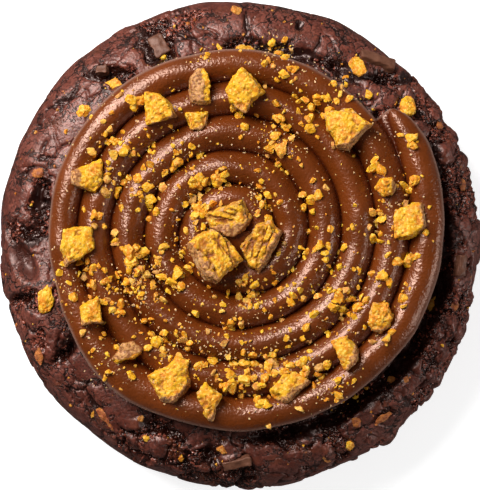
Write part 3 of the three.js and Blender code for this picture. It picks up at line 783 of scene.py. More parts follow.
def toffee_finish():
    """Aerated toffee: golden and porous, brown in the pores, low spots and slits as painted shade, with a
    tan crust where it was the outside.
    """
    finish = Finish("aerated toffee")
    mottle = finish.patches(1.8, 0.38, 0.68, -0.35, 0.75, detail=2)
    warm = finish.combine("ADD", finish.layer("warmth"), mottle)
    gold = finish.blend(warm, TOFFEE_GOLD, TOFFEE_ORANGE)
    gold = finish.blend(finish.patches(0.6, 0.52, 0.64, 0, 0.7, detail=2), gold, TOFFEE_LIGHT)
    # The pores and low spots are painted brown as shade.
    porous = finish.blend(finish.layer("pore"), gold, PAINTED_PORE_SHADE)
    crust = finish.blend(finish.patches(0.7, 0.38, 0.62), TOFFEE_CRUST_DARK, TOFFEE_CRUST_LIGHT)
    toffee = finish.blend(finish.layer("crust"), porous, crust)
    melted = finish.blend(finish.patches(1.1, 0.35, 0.65), CARAMEL_DARK, CARAMEL_LIGHT)
    toffee = finish.blend(finish.layer("caramel"), toffee, melted)
    # The slits are painted brown as shade.
    toffee = finish.blend(finish.layer("deep"), toffee, PAINTED_SLIT_SHADE)
    colour = finish.blend(finish.layer("pale"), toffee, TOFFEE_CREAM)
    grain = finish.bump(finish.noise(0.7, 2), 0.28)
    rough = finish.patches(0.9, 0.3, 0.7, 0.45, 0.7)
    finish.set(Base_Color=colour, Roughness=rough, Normal=grain, Specular_IOR_Level=0.3)
    finish.set(Subsurface_Weight=0.15, Subsurface_Scale=0.0006, Subsurface_Radius=TOFFEE_SCATTER)
    return finish.material


def chocolate_finish():
    """Plain chocolate baked into the crust, dull and smooth."""
    finish = Finish("baked chocolate")
    colour = finish.blend(finish.patches(1.6, 0.3, 0.7), CHOCOLATE_DARK, CHOCOLATE_LIGHT)
    fine = finish.bump(finish.noise(0.5, 3), 0.06, 0.6)
    rough = finish.patches(1.2, 0.3, 0.7, 0.38, 0.55)
    finish.set(Base_Color=colour, Roughness=rough, Normal=fine)
    finish.set(Specular_IOR_Level=0.3, Specular_Tint=CHOCOLATE_SHEEN)
    return finish.material


# The dough

def hollows(points, rows, steepness=1):
    """Depth at each point of hollows, given by rows of the measures of the crevices."""
    angles = compass(points)
    radius = np.hypot(points[:, 0], points[:, 1])
    total = np.zeros(len(points))
    for degrees, place, turn, half_length, half_width, depth in rows:
        along = np.radians(degrees_off(angles, degrees)) * radius
        out = radius - place
        cos, sin = math.cos(math.radians(turn)), math.sin(math.radians(turn))
        lengthwise = (along * cos + out * sin) / half_length
        across = (out * cos - along * sin) / half_width
        total += depth * np.exp(-((lengthwise**2 + across**2) ** steepness))
    return np.where(points[:, 2] < WIDEST_HEIGHT, 0, total)


def open_crust(points):
    """How open and crumbly the crust is at each point, from 0 to 1."""
    angles = compass(points)
    lean = sum(amount * bell(angles, centre, spread) for centre, spread, amount in CRUMBLY_SIDES)
    patches = OPEN_PATCHES * layered_noise(points, cell=9, layers=3, salt=30)
    crevices = OPEN_CREVICES * hollows(points, CREVICES)
    return smooth_step(OPEN_FROM, OPEN_FULLY, patches + lean + crevices)


def painted_side_shade(points):
    """How much tone the crust loses at each point toward the side that is painted darker as shade."""
    centre, spread, amount = PAINTED_SHADE_SIDE
    return amount * bell(compass(points), centre, spread)


def crust_relief(points):
    """How far the crust stands out, how deep its gaps are, and a number for each plate."""
    moved = wander(points, cell=5, amount=PLATE_WANDER, salt=200)
    moved = wander(moved, cell=1.4, amount=PLATE_FRAY, salt=260)
    near, following, own = nearest_two(moved, PLATE_SIZE)
    plate = PLATE_RISE * (PLATE_LEVEL - near / PLATE_SIZE) + PLATE_STEP * (own - 0.5)
    swell = SWELL_RISE * layered_noise(points, SWELL_SIZE, layers=2, salt=20)
    swell -= hollows(points, DENTS, DENT_STEEPNESS)
    whole = smooth_step(-0.5, 0.1, soft_noise(points, cell=8, salt=25))
    crack = CRACK_DEPTH * whole * np.exp((near - following) / CRACK_WIDTH)
    gap = crack + hollows(wander(points, cell=3, amount=CREVICE_WANDER, salt=230), CREVICES)
    return plate + swell - gap, gap, own


def plate_relief(points):
    """Thin cracks, pits and grain of the smooth plates, and how deep their gaps are."""
    moved = wander(points, cell=2.4, amount=HAIRLINE_WANDER, salt=40)
    near, following, _ = nearest_two(moved, HAIRLINE_SIZE)
    cracked = smooth_step(0.0, 0.5, soft_noise(points, cell=6, salt=70))
    hairline = HAIRLINE_DEPTH * cracked * np.exp((near - following) / HAIRLINE_WIDTH)
    crack = hollows(wander(points, cell=2.2, amount=THIN_CRACK_WANDER, salt=240), THIN_CRACKS)
    pit_near, _, _ = nearest_two(points, PIT_SIZE)
    pitted = smooth_step(-0.2, 0.4, soft_noise(points, cell=4, salt=75))
    pit = PIT_DEPTH * pitted * smooth_step(0.4, 0.1, pit_near)
    grain = PLATE_GRAIN * layered_noise(points, cell=1.8, layers=2, salt=90)
    cut = HAIRLINE_CUT * hairline + THIN_CRACK_CUT * crack + PIT_CUT * pit
    return grain - cut, hairline + crack + pit


def crumble_relief(points):
    """Crumbs of the open crust, how deep the seams between them are, which is painted dark as shade, and
    their tone, painted lighter on top and darker low down as shade.
    """
    height = np.zeros(len(points))
    seams = np.zeros(len(points))
    for layer in range(CRUMBLE_LAYERS):
        noise = soft_noise(points, CRUMBLE_SIZE / 2**layer, salt=80 + layer)
        height += (np.abs(noise) - CRUMBLE_LEVEL) / CRUMBLE_WEAKENING**layer
        seams += np.exp(-((noise / SEAM_WIDTH) ** 2)) / SEAM_WEAKENING**layer
    mottle = CRUMBLE_MOTTLE * soft_noise(points, cell=1.0, salt=85)
    # Low crumbs and the seams are painted darker as shade, and the tops lighter.
    tone = np.clip(CRUMBLE_TONE + CRUMBLE_SHADE * height + mottle, 0, 1)
    gap = SEAM_SHADE * seams + np.clip(-CRUMBLE_SHADE * height, 0, 1)
    return CRUMBLE_RISE * height - CRUMBLE_LOWERING, gap, tone


def clod_relief(points):
    """Clods of the open crust, the splits between them, a number for each, and which tops are smooth."""
    near, following, own = nearest_two(wander(points, cell=2.5, amount=CLOD_WANDER, salt=300), CLOD_SIZE)
    split = np.exp((near - following) / CLOD_GAP)
    rise = CLOD_RISE * (CLOD_LEVEL - near / CLOD_SIZE) + CLOD_STEP * (own - 0.5) - CLOD_SPLIT * split
    smooth_top = CLOD_SMOOTHNESS * smooth_step(0.62, 0.4, near / CLOD_SIZE) * smooth_step(0.3, 0.5, own)
    return rise, split, own, smooth_top


def side_profile():
    """Rings of the smooth side from the seat's edge to the table: radius and height, and the way out."""
    turn = np.linspace(0, math.pi / 2, PROFILE_STEPS)
    shoulder_out = SEAT_RADIUS + (COOKIE_RADIUS - SEAT_RADIUS) * np.sin(turn) ** (2 / SHOULDER_POWER)
    shoulder_up = WIDEST_HEIGHT + (COOKIE_HEIGHT - WIDEST_HEIGHT) * np.cos(turn) ** (2 / SHOULDER_POWER)
    foot_out = BASE_RADIUS + (COOKIE_RADIUS - BASE_RADIUS) * np.cos(turn) ** (2 / FOOT_POWER)
    foot_up = WIDEST_HEIGHT * (1 - np.sin(turn) ** (2 / FOOT_POWER))
    out = np.concatenate([shoulder_out, foot_out[1:]])
    up = np.concatenate([shoulder_up, foot_up[1:]])
    length = np.concatenate([[0], np.cumsum(np.hypot(np.diff(out), np.diff(up)))])
    widest = length[PROFILE_STEPS - 1]
    shoulder = np.linspace(0, widest, round(widest / SHOULDER_SPACING))
    foot = np.linspace(widest, length[-1], round((length[-1] - widest) / FOOT_SPACING))
    stops = np.concatenate([shoulder, foot[1:]])
    line = np.stack([np.interp(stops, length, out), np.interp(stops, length, up)], axis=1)
    along = np.gradient(line, axis=0)
    outward = np.stack([-along[:, 1], along[:, 0]], axis=1)
    return line, outward / np.linalg.norm(outward, axis=1, keepdims=True)


def dough_crust(smooth):
    """How far the crust stands out at each point of the smooth side, and the layers of its finish."""
    open_share = open_crust(smooth)
    clod, split, clod_tone, smooth_top = clod_relief(smooth)
    crumbly = open_share * (1 - smooth_top)
    rise, gap, plate_tone = crust_relief(smooth)
    plate, plate_gap = plate_relief(smooth)
    crumb, crumb_gap, crumb_tone = crumble_relief(smooth)
    relief = rise + plate + crumbly * (crumb - plate) + open_share * clod
    # The gaps, cracks and splits are painted dark as shade.
    gap = gap * (1 - CRUMB_IN_GAP * crumbly * crumb_tone)
    gap += PLATE_GAP_DARKNESS * plate_gap * (1 - crumbly) + CRUMBLE_GAP_DARKNESS * crumb_gap * crumbly
    gap += SPLIT_DARKNESS * split * open_share
    # The tone is painted darker toward one side as shade.
    tone = plate_tone + crumbly * (crumb_tone - plate_tone) - painted_side_shade(smooth)
    tone += CLOD_TONE * open_share * (clod_tone - 0.5)
    dent = np.clip(hollows(smooth, DENTS, DENT_STEEPNESS) / DENT_DARKEST, 0, 1)
    return relief, {"crumbly": crumbly, "gap": gap, "dent": dent, "tone": tone}


def rings_of(radius, height, angle):
    """Points of rings round the middle, by their radius and height at each angle."""
    return np.stack([radius * np.cos(angle), radius * np.sin(angle), height], axis=-1).reshape(-1, 3)


def dough_shape():
    """Points and triangles of the dough, and the layers of its finish."""
    line, outward = side_profile()
    angle = np.arange(RIM_SEGMENTS) * 2 * math.pi / RIM_SEGMENTS
    oval = OVAL_AMOUNT * np.cos(2 * (angle + OVAL_TURN)) / COOKIE_RADIUS
    radius = line[:, :1] * (1 + oval)
    height = np.repeat(line[:, 1:], RIM_SEGMENTS, axis=1)
    relief, layers = dough_crust(rings_of(radius, height, angle))
    fade = smooth_step(0, FOOT_FADE, height)
    fade[0] = 0
    relief = relief.reshape(height.shape) * fade
    radius = radius + outward[:, :1] * relief
    height = np.clip(height + outward[:, 1:] * relief, 0, HIGHEST_CRUST)
    crust = rings_of(radius, height, angle)
    rows = np.arange(len(crust)).reshape(height.shape)
    sides = triangles_of(np.concatenate([rows, rows[:, :1]], axis=1))
    ends = [[0, 0, COOKIE_HEIGHT], [0, 0, 0]]
    caps = [fan(len(crust), rows[0]), fan(len(crust) + 1, rows[-1][::-1])]
    layers = {name: np.append(values, [0, 0]) for name, values in layers.items()}
    return (np.concatenate([crust, ends]), np.concatenate([sides, *caps])), layers


def make_dough(finish):
    shape, layers = dough_shape()
    dough = make_piece("cookie_dough", shape, finish, layers)
    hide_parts("cookie")
    return shape


# The swirl

def swirl_radius(turns):
    """Outer radius of the rope, in turns counted from its second pass over +X."""
    wave = sum(amount * bell(turns * 360, degrees, spread) for degrees, spread, amount in EDGE_WAVES)
    outer = smooth_step(SWIRL_TURNS - WAVE_ONSET, SWIRL_TURNS - 1, turns)
    return SWIRL_START + SWIRL_PITCH * turns + outer * wave


def tail_share(turns):
    """How much of the rope is left toward its pointed end, from 1 to 0."""
    into = np.clip((turns - (SWIRL_TURNS - TAIL_TAPER)) / TAIL_TAPER, 0, 1)
    return np.sqrt(1 - into * into)


def rope_points(turns, across, height):
    """Points of the rope: share of the way across it from its inner groove, and height above the seat."""
    inner = swirl_radius(turns - 1)
    narrowed = TAIL_MIDDLE + (across - TAIL_MIDDLE) * tail_share(turns)
    radius = inner + (swirl_radius(turns) - inner) * narrowed
    angle = 2 * math.pi * turns
    flat = np.broadcast_to(COOKIE_HEIGHT + height, radius.shape)
    return np.stack([radius * np.cos(angle), radius * np.sin(angle), flat], axis=-1) + SWIRL_CENTRE


def rope_tops(last):
    """Points of the rope's rounded top up to its last step, and how near they are to the outer edge."""
    turn = math.pi * np.arange(1, ROPE_SIDES) / ROPE_SIDES
    turns = np.arange(last)[:, None] / STEPS_PER_TURN
    bare = (turns >= SWIRL_TURNS - 1) & (turn > math.pi / 2)
    power = np.where(bare, EDGE_POWER, ROPE_POWER)
    rise = (CREST_HEIGHT - GROOVE_HEIGHT) * np.sin(turn) ** power * tail_share(turns)
    across = (1 - np.cos(turn)) / 2
    from_edge = (1 - across) * SWIRL_PITCH
    near_edge = np.where(bare, np.exp(-((from_edge / EDGE_LINE) ** 2)), 0)
    return rope_points(turns + 0 * turn, across, GROOVE_HEIGHT + rise), near_edge


def rope_faces(groove_at, rope_at):
    """Triangles over the rope from its inner groove to its outer one, drawn together at the tail."""
    inner = groove_at[: len(rope_at) + 1, None]
    outer = groove_at[STEPS_PER_TURN:, None]
    tail = np.full((1, ROPE_SIDES - 1), groove_at[-1])
    columns = np.hstack([inner, np.vstack([rope_at, tail]), outer])
    return triangles_of(columns[:, ::-1])


def rope_unevenness(points):
    """Small sways and swells of a rope piped by hand."""
    plan = points * (1, 1, 0)
    sway = [SWAY * layered_noise(plan, SWAY_LENGTH, layers=2, salt=100 + 10 * axis) for axis in range(2)]
    share = (points[:, 2] - COOKIE_HEIGHT) / CREST_HEIGHT
    swell = ROPE_SWELL * share * layered_noise(plan, ROPE_SWELL_LENGTH, layers=2, salt=130)
    return points + np.stack([*sway, swell], axis=1)


def capped(edge, rings, end):
    """Points and triangles from an edge over rings to an end point. New points count -1, -2 and so on."""
    new = -1 - np.arange(rings[..., 0].size).reshape(rings.shape[:2])
    rows = np.vstack([edge, new])
    end_at = -1 - new.size
    faces = [triangles_of(np.hstack([rows, rows[:, :1]])[::-1]), fan(end_at, rows[-1])]
    return np.concatenate([rings.reshape(-1, 3), [end]]), np.concatenate(faces)


def blob(points, edge):
    """The domed centre inside the first turn."""
    top = np.array([0, -BLOB_OFFSET, COOKIE_HEIGHT + CREST_HEIGHT]) + SWIRL_CENTRE
    rim = points[edge]
    share = np.linspace(0, 1, BLOB_RINGS + 1)[1:-1, None, None]
    rings = rim + (top - rim) * share
    rings[..., 2] = rim[:, 2] + (top[2] - rim[:, 2]) * np.sin(share[..., 0] * math.pi / 2)
    return capped(edge, rings, top)


def wall(points, edge, dough_top):
    """The wall round the outer turn, down into the dough, and the flat underside."""
    rim = points[edge]
    inward = (SWIRL_CENTRE - rim) * (1, 1, 0)
    inward /= np.linalg.norm(inward, axis=1, keepdims=True)
    rings = []
    for tuck, height in WALL_LEVELS:
        ring = rim + inward * tuck
        ring[:, 2] = COOKIE_HEIGHT + height
        rings.append(ring)
    foot = rim + inward * WALL_FOOT_TUCK
    foot[:, 2] = [top_at(dough_top, x, y) - WALL_FOOT_SINK for x, y, _ in foot]
    rings = np.stack([*rings, foot])
    centre = SWIRL_CENTRE + (0, 0, COOKIE_HEIGHT - WALL_FOOT_SINK)
    return capped(edge[::-1], rings[:, ::-1], centre)


def swirl_shape(dough_top):
    """Points and triangles of the rope, its centre blob and its outer wall, and the layers of its finish."""
    last = round(SWIRL_TURNS * STEPS_PER_TURN)
    groove_steps = np.arange(-STEPS_PER_TURN, last + 1)
    grooves = rope_points(groove_steps / STEPS_PER_TURN, 1.0, GROOVE_HEIGHT)
    rope, near_edge = rope_tops(last)
    edge = np.concatenate([groove_steps >= last - STEPS_PER_TURN, near_edge.ravel()])
    groove_at = np.arange(len(grooves))
    rope_at = len(grooves) + np.arange(near_edge.size).reshape(near_edge.shape)
    points = rope_unevenness(np.concatenate([grooves, rope.reshape(-1, 3)]))
    faces = [rope_faces(groove_at, rope_at)]
    blob_edge = np.concatenate([groove_at[: STEPS_PER_TURN + 1], rope_at[0][::-1]])
    for extra, triangles in (blob(points, blob_edge), wall(points, groove_at[last:], dough_top)):
        faces.append(np.where(triangles < 0, len(points) - 1 - triangles, triangles))
        points = np.concatenate([points, extra])
    above = np.clip(points[:, 2] - COOKIE_HEIGHT - GROOVE_HEIGHT, 0, None)
    edge = np.append(edge, np.zeros(len(points) - len(edge)))
    # groove marks painted shade in the grooves; edge marks a painted reflection along the outer edge.
    layers = {"groove": np.exp(-((above / GROOVE_SHADE) ** 2)) * (1 - edge), "edge": edge}
    return (points, np.concatenate(faces)), layers


def make_swirl(dough_top):
    shape, layers = swirl_shape(dough_top)
    swirl = make_piece("piped_swirl", shape, ganache_finish(), layers)
    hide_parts("swirl")
    return shape


# Toffee pieces

def remeshed(node):
    """Points, outward directions and triangles of a CAD piece with even fine triangles."""
    copy = node.copy()
    copy.data = node.data.copy()
    bpy.context.scene.collection.objects.link(copy)
    remesh = copy.modifiers.new("even", "REMESH")
    remesh.mode = "VOXEL"
    remesh.voxel_size = CHUNK_VOXEL * MM
    depsgraph = bpy.context.evaluated_depsgraph_get()
    mesh = bpy.data.meshes.new_from_object(copy.evaluated_get(depsgraph))
    bpy.data.objects.remove(copy)
    mesh.calc_loop_triangles()
    points = read_threes(mesh.vertices, "co", np.float32).astype(float) / MM
    normals = read_threes(mesh.vertex_normals, "vector", np.float32).astype(float)
    faces = read_threes(mesh.loop_triangles, "vertices", np.int32)
    bpy.data.meshes.remove(mesh)
    return points, normals, faces


def slits(points, degrees):
    """Slits between fibres that run in a direction, 1 in the middle of a slit and 0 away from it."""
    along = plan_direction(degrees)
    drawn = points - FIBRE_DRAW * (points @ along)[:, None] * along
    near, following, _ = nearest_two(wander(drawn, cell=1.6, amount=0.4, salt=150), FIBRE_SIZE)
    slit_here = smooth_step(-0.3, 0.2, soft_noise(points, cell=2.2, salt=158))
    return smooth_step(SLIT_WIDTH, 0, following - near) * slit_here


def chunk_crust(points, normals, side, free):
    """Share of crust at each point of a piece: none on the part that is free of it, then all."""
    toward = plan_direction(side)
    reach = points @ toward
    share = (reach - reach.min()) / (reach.max() - reach.min()) + CRUST_LEAN * (normals @ toward)
    ragged = 0.10 * layered_noise(points, cell=2, layers=2, salt=140)
    ragged += 0.09 * soft_noise(points, cell=0.6, salt=145)
    return smooth_step(-0.04, 0.04, share - free + ragged)


def chunk_grain(points):
    """Knobs and grain of broken toffee, and its pores with the low spots of the grain, which the finish
    paints darker as shade.
    """
    near, _, own = nearest_two(wander(points, cell=2, amount=0.5, salt=150), PORE_SIZE)
    pore = smooth_step(0.34, 0.1, near) * smooth_step(0.4, 0.9, own)
    knob = smooth_step(0.5, 0.05, near) * smooth_step(0.6, 0.2, own)
    grain = 0.5 * knob + 0.4 * layered_noise(points, cell=2.6, layers=2, salt=160)
    grain += 0.3 * soft_noise(points, cell=0.9, salt=170) + 0.25 * soft_noise(points, cell=0.5, salt=171)
    # Low spots of the grain join the pores, to be painted darker as shade.
    return grain, np.maximum(pore, 0.8 * smooth_step(0.0, -0.45, grain))


def chunk_shape(node, look, fibre):
    """A broken toffee piece in the place of its solid, porous where it broke and with a rough crust."""
    side, free, warmth = look
    points, normals, faces = remeshed(node)
    crust = chunk_crust(points, normals, side, free)
    deep = np.zeros(len(points))
    if fibre is not None:
        direction, side_crust = fibre
        upright = normals[:, 2] + 0.3 * soft_noise(points, cell=1.0, salt=146)
        crust = np.maximum(crust, side_crust * smooth_step(0.5, 0.2, upright))
        deep = slits(points, direction) * (1 - crust)
    grain, pore = chunk_grain(points)
    pore = pore * (1 - crust)
    relief = CHUNK_RELIEF * (grain - PORE_CUT * pore - SLIT_CUT * deep + CRUST_LIFT * crust + CHUNK_LIFT)
    speck = smooth_step(0.3, 0.7, soft_noise(points, cell=1.3, salt=175))
    layers = {
        "crust": crust,
        "pore": pore,
        "deep": deep,
        "pale": PALE_SPECKS * speck * smooth_step(0.7, 0.2, normals[:, 2]),
        "warmth": np.full(len(points), warmth),
    }
    return (points + normals * relief[:, None], faces), layers


def make_chunks(finish):
    """The large toffee pieces, of which the last ones broke along their fibres."""
    shapes = []
    fibres = [None] * (len(CHUNK_LOOKS) - len(FIBRES)) + FIBRES
    for number, (look, fibre) in enumerate(zip(CHUNK_LOOKS, fibres), start=1):
        node = f"toffee_{number:02d}"
        shape, layers = chunk_shape(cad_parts[node], look, fibre)
        piece = make_piece(f"{node}_piece", shape, finish, layers)
        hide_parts(node)
        shapes.append(shape)
    return shapes


# Crumbs

def ball(subdivisions):
    """Points and triangles of a ball one unit across."""
    mesh = bmesh.new()
    bmesh.ops.create_icosphere(mesh, subdivisions=subdivisions, radius=0.5)
    return shape_from(mesh)


def broken_lumps(shape, rows, places, random, knobbiness=LUMP_KNOBBINESS, nearest_cut=NEAREST_CUT):
    """Lumps with flat broken sides: a ball cut by planes, then sized, turned and put in place by a row."""
    ball_points, ball_faces = shape
    count = len(rows)
    apart = random.uniform(0, 100, (count, 1, 3))
    knobs = soft_noise((ball_points * LUMP_KNOBS + apart).reshape(-1, 3), cell=1, salt=190)
    points = ball_points * (1 + knobbiness * knobs.reshape(count, -1, 1))
    for _ in range(LUMP_SIDES):
        normal = random.normal(size=(count, 1, 3))
        normal /= np.linalg.norm(normal, axis=2, keepdims=True)
        cut = random.uniform(nearest_cut, FARTHEST_CUT, (count, 1, 1))
        past = (points * normal).sum(axis=2, keepdims=True) - cut
        points = points - normal * np.maximum(past, 0)
    points = points * (1 + LUMP_ROUGHNESS * random.normal(size=(count, len(ball_points), 1)))
    reach = np.abs(points).max(axis=1, keepdims=True)
    points = points / (2 * reach) * rows[:, None, 2:5]
    cos, sin = np.cos(rows[:, 5:6]), np.sin(rows[:, 5:6])
    x = points[..., 0] * cos - points[..., 1] * sin
    y = points[..., 0] * sin + points[..., 1] * cos
    placed = np.stack([x, y, points[..., 2]], axis=-1) + places[:, None]
    faces = ball_faces + (np.arange(count) * len(ball_points))[:, None, None]
    return placed.reshape(-1, 3), faces.reshape(-1, 3)


def drift_crumbs():
    """Crumbs of the drifts by the rule of the solids: rows of x, y, length, width, height and turn."""
    draw = random_from(CRUMB_SEED)
    rows = []
    for x, y, largest, spread, count in CRUMB_DRIFTS:
        for n in range(count):
            angle = 2 * math.pi * next(draw)
            away = spread * (0.3 + 0.9 * next(draw)) * (n > 0)
            length = largest * (1 - n / count) ** CRUMB_THINNING
            width = length * (0.6 + 0.3 * next(draw))
            height = length * (0.5 + 0.2 * next(draw))
            turn = math.pi * next(draw)
            place = (x + away * math.cos(angle), y + away * math.sin(angle))
            rows.append((*place, length, width, height, turn))
    return np.array(rows)


def lump_rows(random, places, sizes, widths, heights):
    """Rows as for the drifts at plan places, most of them small; widths and heights are shares of length."""
    smallest, largest = sizes
    count = len(places)
    length = smallest + (largest - smallest) * random.uniform(0, 1, count) ** 2
    width = length * random.uniform(*widths, count)
    height = length * random.uniform(*heights, count)
    turn = random.uniform(0, math.pi, count)
    return np.column_stack([places, length, width, height, turn])


def scattered(random, share, loose, sizes):
    """Finer crumbs where they lie thick and loose over the swirl: rows as for the drifts."""
    thick = np.array(THICK_PLACES)
    thick = np.repeat(thick, (thick[:, 3] * share).astype(int), axis=0)
    near = thick[:, :2] + random.normal(size=(len(thick), 2)) * thick[:, 2:3] * THICK_SPREAD
    angle = random.uniform(0, 2 * math.pi, loose)
    away = SCATTER_RADIUS * np.sqrt(random.uniform(0.01, 1, loose))
    places = np.concatenate([near, SWIRL_CENTRE[:2] + plan_places(away, angle)])
    return lump_rows(random, places, sizes, widths=(0.5, 0.95), heights=(0.45, 0.8))


def rim_rows(random, count, sizes):
    """Small lumps scattered over the rim: rows as for the drifts."""
    angle = random.uniform(0, 2 * math.pi, count)
    places = plan_places(random.uniform(*RIM_RADII, count), angle)
    return lump_rows(random, places, sizes, widths=(0.6, 0.95), heights=(0.5, 0.9))


def seated(rows, tree, blocked=None):
    """Rows that land on a surface and not on what blocks it, and the places of their middles."""
    kept, places = [], []
    for row in rows:
        x, y, height = row[0], row[1], row[4]
        top = top_at(tree, x, y)
        if top is None or (blocked is not None and top_at(blocked, x, y) is not None):
            continue
        kept.append(row)
        places.append((x, y, top + height * (0.5 - CRUMB_SINK)))
    return np.array(kept), np.array(places)


def crumb_piece(name, rows, places, lump, finish, random, palest):
    """One piece of toffee crumbs, each with a warmth, a crust and a paleness of its own."""
    shape = broken_lumps(lump, rows, places, random)
    values = {
        "warmth": random.uniform(*CRUMB_WARMTH, len(rows)),
        "crust": (random.uniform(0, 1, len(rows)) < CRUSTED_CRUMBS) * CRUMB_CRUST,
        "pale": random.uniform(*palest, len(rows)),
    }
    layers = {layer: np.repeat(value, len(lump[0])) for layer, value in values.items()}
    make_piece(name, shape, finish, layers, smooth=False)


def make_toffee_crumbs(ground, chunk_tops, finish, random):
    """Crumbs in drifts, finer crumbs and dust over the swirl and the dough."""
    rows, places = seated(drift_crumbs(), ground, chunk_tops)
    crumb_piece("toffee_crumbs", rows, places, ball(3), finish, random, palest=(-0.5, 0.1))
    rows, places = seated(scattered(random, FINE_SHARE, LOOSE_CRUMBS, FINE_SIZES), ground, chunk_tops)
    crumb_piece("fine_toffee_crumbs", rows, places, ball(2), finish, random, palest=(-0.5, 0.25))
    rows, places = seated(scattered(random, DUST_SHARE, DUST_GRAINS, DUST_SIZES), ground)
    crumb_piece("toffee_dust", rows, places, ball(1), finish, random, palest=(0.7, 1.3))


# Pieces caught in the crust

def shoulder_slope(radius):
    """How steeply the shoulder falls at a plan radius, in radians."""
    out = (radius - SEAT_RADIUS) / (COOKIE_RADIUS - SEAT_RADIUS)
    rest = 1 - out**SHOULDER_POWER
    fall = out ** (SHOULDER_POWER - 1) * rest ** (1 / SHOULDER_POWER - 1)
    return math.atan(fall * (COOKIE_HEIGHT - WIDEST_HEIGHT) / (COOKIE_RADIUS - SEAT_RADIUS))


def turned(points, axis, angle):
    """Points turned about the X, Y or Z axis, numbered 0 to 2."""
    first, second = (axis + 1) % 3, (axis + 2) % 3
    result = points.copy()
    result[:, first] = points[:, first] * math.cos(angle) - points[:, second] * math.sin(angle)
    result[:, second] = points[:, first] * math.sin(angle) + points[:, second] * math.cos(angle)
    return result


def on_shoulder(points, degrees, radius, height, turn, dough_top):
    """A piece made round the origin, laid along the shoulder and standing partly out of it."""
    x, y, _ = radius * plan_direction(degrees)
    laid = turned(points, 2, math.radians(turn)) + (0, 0, height * (0.5 - PIECE_SINK))
    laid = turned(turned(laid, 1, shoulder_slope(radius)), 2, math.radians(degrees))
    return laid + (x, y, top_at(dough_top, x, y))


def worn_block(length, width, height):
    """A block of chocolate with worn edges, as points and triangles."""
    mesh = bmesh.new()
    bmesh.ops.create_cube(mesh, size=1)
    bmesh.ops.subdivide_edges(mesh, edges=mesh.edges[:], cuts=BLOCK_CUTS, use_grid_fill=True)
    bmesh.ops.triangulate(mesh, faces=mesh.faces[:])
    points, faces = shape_from(mesh)
    inner = np.clip(points, BLOCK_WEAR - 0.5, 0.5 - BLOCK_WEAR)
    past = points - inner
    reach = np.linalg.norm(past, axis=1, keepdims=True)
    points = inner + past / np.maximum(reach, 1e-9) * np.minimum(reach, BLOCK_WEAR)
    return points * (length, width, height), faces


def make_crust_chocolate(dough_top, finish):
    shapes = []
    for degrees, radius, length, width, height, turn in CHOCOLATE_PIECES:
        points, faces = worn_block(length, width, height)
        placed = on_shoulder(points, degrees, radius, height, turn, dough_top)
        shapes.append((wander(placed, cell=1.6, amount=BLOCK_WANDER, salt=170), faces))
    make_piece("crust_chocolate", joined(shapes), finish)


def rim_bit(row, dough_top, random):
    """A toffee bit in the crust, flatter the more it has melted."""
    degrees, radius, length, width, turn, melted = row
    height = width * RIM_BIT_HEIGHT * (1 - MELT_FLATTENING * melted)
    lump = np.array([(0, 0, length * RIM_BIT_GROWTH, width * RIM_BIT_GROWTH, height, 0)])
    looks = (RIM_BIT_KNOBBINESS, RIM_BIT_NEAREST_CUT)
    points, faces = broken_lumps(ball(4), lump, np.zeros((1, 3)), random, *looks)
    placed = on_shoulder(points, degrees, radius, height, turn, dough_top)
    return wander(placed, cell=0.9, amount=RIM_BIT_WANDER, salt=170), faces


def make_crust_toffee(dough_top, finish, random):
    """Toffee bits in the crust, some melted into caramel, and fine flecks."""
    shapes = [rim_bit(row, dough_top, random) for row in RIM_BITS]
    caramel = [np.full(len(points), row[-1]) for (points, _), row in zip(shapes, RIM_BITS)]
    fleck = ball(2)
    rows, places = seated(rim_rows(random, RIM_FLECKS, FLECK_SIZES), dough_top)
    shapes.append(broken_lumps(fleck, rows, places, random))
    caramel.append(np.repeat(random.uniform(*FLECK_CARAMEL, len(rows)), len(fleck[0])))
    points, faces = joined(shapes)
    warmth = 0.5 + 0.5 * layered_noise(points, cell=3, layers=2, salt=180)
    layers = {"warmth": warmth, "caramel": np.concatenate(caramel)}
    make_piece("crust_toffee", (points, faces), finish, layers, smooth=False)


def make_dough_crumbs(dough_top, finish, random):
    """Loose dark crumbs where the crust is open, apart from the smooth tops of clods."""
    rows, places = seated(rim_rows(random, DOUGH_CRUMBS, DOUGH_CRUMB_SIZES), dough_top)
    crumbly = open_crust(places) * (1 - clod_relief(places)[-1])
    loose = crumbly > random.uniform(*DOUGH_CRUMB_ODDS, len(places))
    rows, places = rows[loose], places[loose]
    lump = ball(1)
    points, faces = broken_lumps(lump, rows, places, random)
    # The tone is painted darker toward one side as shade, as on the crust.
    tone = random.uniform(0, 1, len(rows)) - painted_side_shade(places)
    layers = {"crumbly": np.ones(len(points)), "tone": np.repeat(tone, len(lump[0]))}
    make_piece("dough_crumbs", (points, faces), finish, layers)


# Studio

def make_world():
    """Dim light from all round; the floor keeps its lower half from all but reflections."""
    world = bpy.data.worlds.new("studio")
    world.use_nodes = True
    nodes, links = world.node_tree.nodes, world.node_tree.links
    sky = nodes["Background"].inputs
    sky["Color"].default_value = WHITE
    direction = nodes.new("ShaderNodeTexCoord")
    split = nodes.new("ShaderNodeSeparateXYZ")
    level = nodes.new("ShaderNodeMapRange")
    ends = {"From Min": -HORIZON, "From Max": HORIZON, "To Min": LIGHT_BELOW, "To Max": LIGHT_ABOVE}
    for name, value in ends.items():
        level.inputs[name].default_value = value
    links.new(direction.outputs["Generated"], split.inputs[0])
    links.new(split.outputs["Z"], level.inputs["Value"])
    links.new(level.outputs[0], sky["Strength"])
    bpy.context.scene.world = world


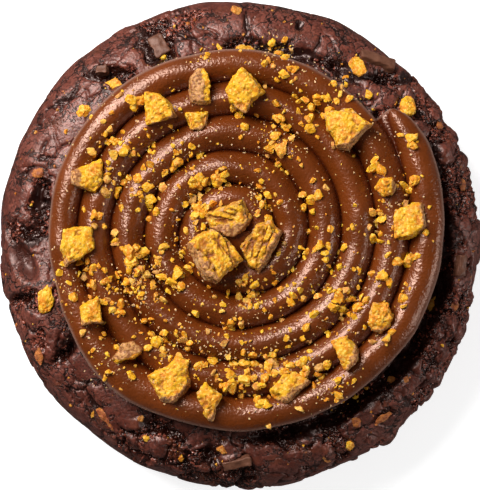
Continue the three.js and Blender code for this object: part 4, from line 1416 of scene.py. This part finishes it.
def add_lamp(name, azimuth, elevation, distance, size, power):
    """A square lamp that faces the cookie."""
    lamp = bpy.data.lights.new(name, "AREA")
    lamp.shape = "SQUARE"
    lamp.size = size
    lamp.energy = power
    holder = add_object(name, lamp)
    turn, lift = math.radians(azimuth), math.radians(elevation)
    across = distance * math.cos(lift)
    place = Vector((across * math.cos(turn), across * math.sin(turn), distance * math.sin(lift)))
    holder.location = place
    holder.rotation_euler = place.to_track_quat("Z", "Y").to_euler()
    return holder


def add_floor():
    """A pale floor that doesn't show in reflections."""
    finish = Finish("floor")
    finish.set(Base_Color=FLOOR_GREY, Roughness=0.8, Specular_IOR_Level=0.1)
    finish.set(Emission_Color=WHITE, Emission_Strength=FLOOR_GLOW)
    mesh = bpy.data.meshes.new("floor")
    corners = [(x * FLOOR_HALF, y * FLOOR_HALF, 0) for x, y in ((-1, -1), (1, -1), (1, 1), (-1, 1))]
    mesh.from_pydata(corners, [], [(0, 1, 2, 3)])
    mesh.materials.append(finish.material)
    floor = add_object("floor", mesh)
    floor.visible_glossy = False


def add_camera():
    """The photograph's camera, straight above."""
    camera = add_object("camera", bpy.data.cameras.new("camera"))
    camera.data.sensor_fit = "VERTICAL"
    camera.data.sensor_height = SENSOR
    camera.data.sensor_width = SENSOR
    camera.data.lens = SENSOR * CAMERA_DISTANCE / PICTURE_HEIGHT
    camera.data.clip_end = CAMERA_REACH
    camera.location = CAMERA_PLACE
    bpy.context.scene.camera = camera


def make_studio():
    """A pale floor, a large soft lamp at the upper left, soft light all round and the photo's camera."""
    make_world()
    add_lamp("key", azimuth=134, elevation=46, distance=0.9, size=0.54, power=15.6)
    fill = add_lamp("overhead", azimuth=0, elevation=89.9, distance=1.2, size=1.7, power=2.6)
    fill.visible_glossy = False
    add_lamp("side", azimuth=-15, elevation=13, distance=1.0, size=0.45, power=3.0)
    add_floor()
    add_camera()
    bpy.context.scene.view_settings.view_transform = "Standard"


def make_cookie():
    """All pieces of the cookie, from the dough up."""
    random = np.random.default_rng(RANDOM_SEED)
    dough_look, toffee_look = dough_finish(), toffee_finish()
    dough = make_dough(dough_look)
    dough_top = surface_of(dough)
    swirl = make_swirl(dough_top)
    chunk_tops = surface_of(*make_chunks(toffee_look))
    make_toffee_crumbs(surface_of(dough, swirl), chunk_tops, toffee_look, random)
    make_crust_chocolate(dough_top, chocolate_finish())
    make_crust_toffee(dough_top, toffee_look, random)
    make_dough_crumbs(dough_top, dough_look, random)


make_cookie()
make_studio()
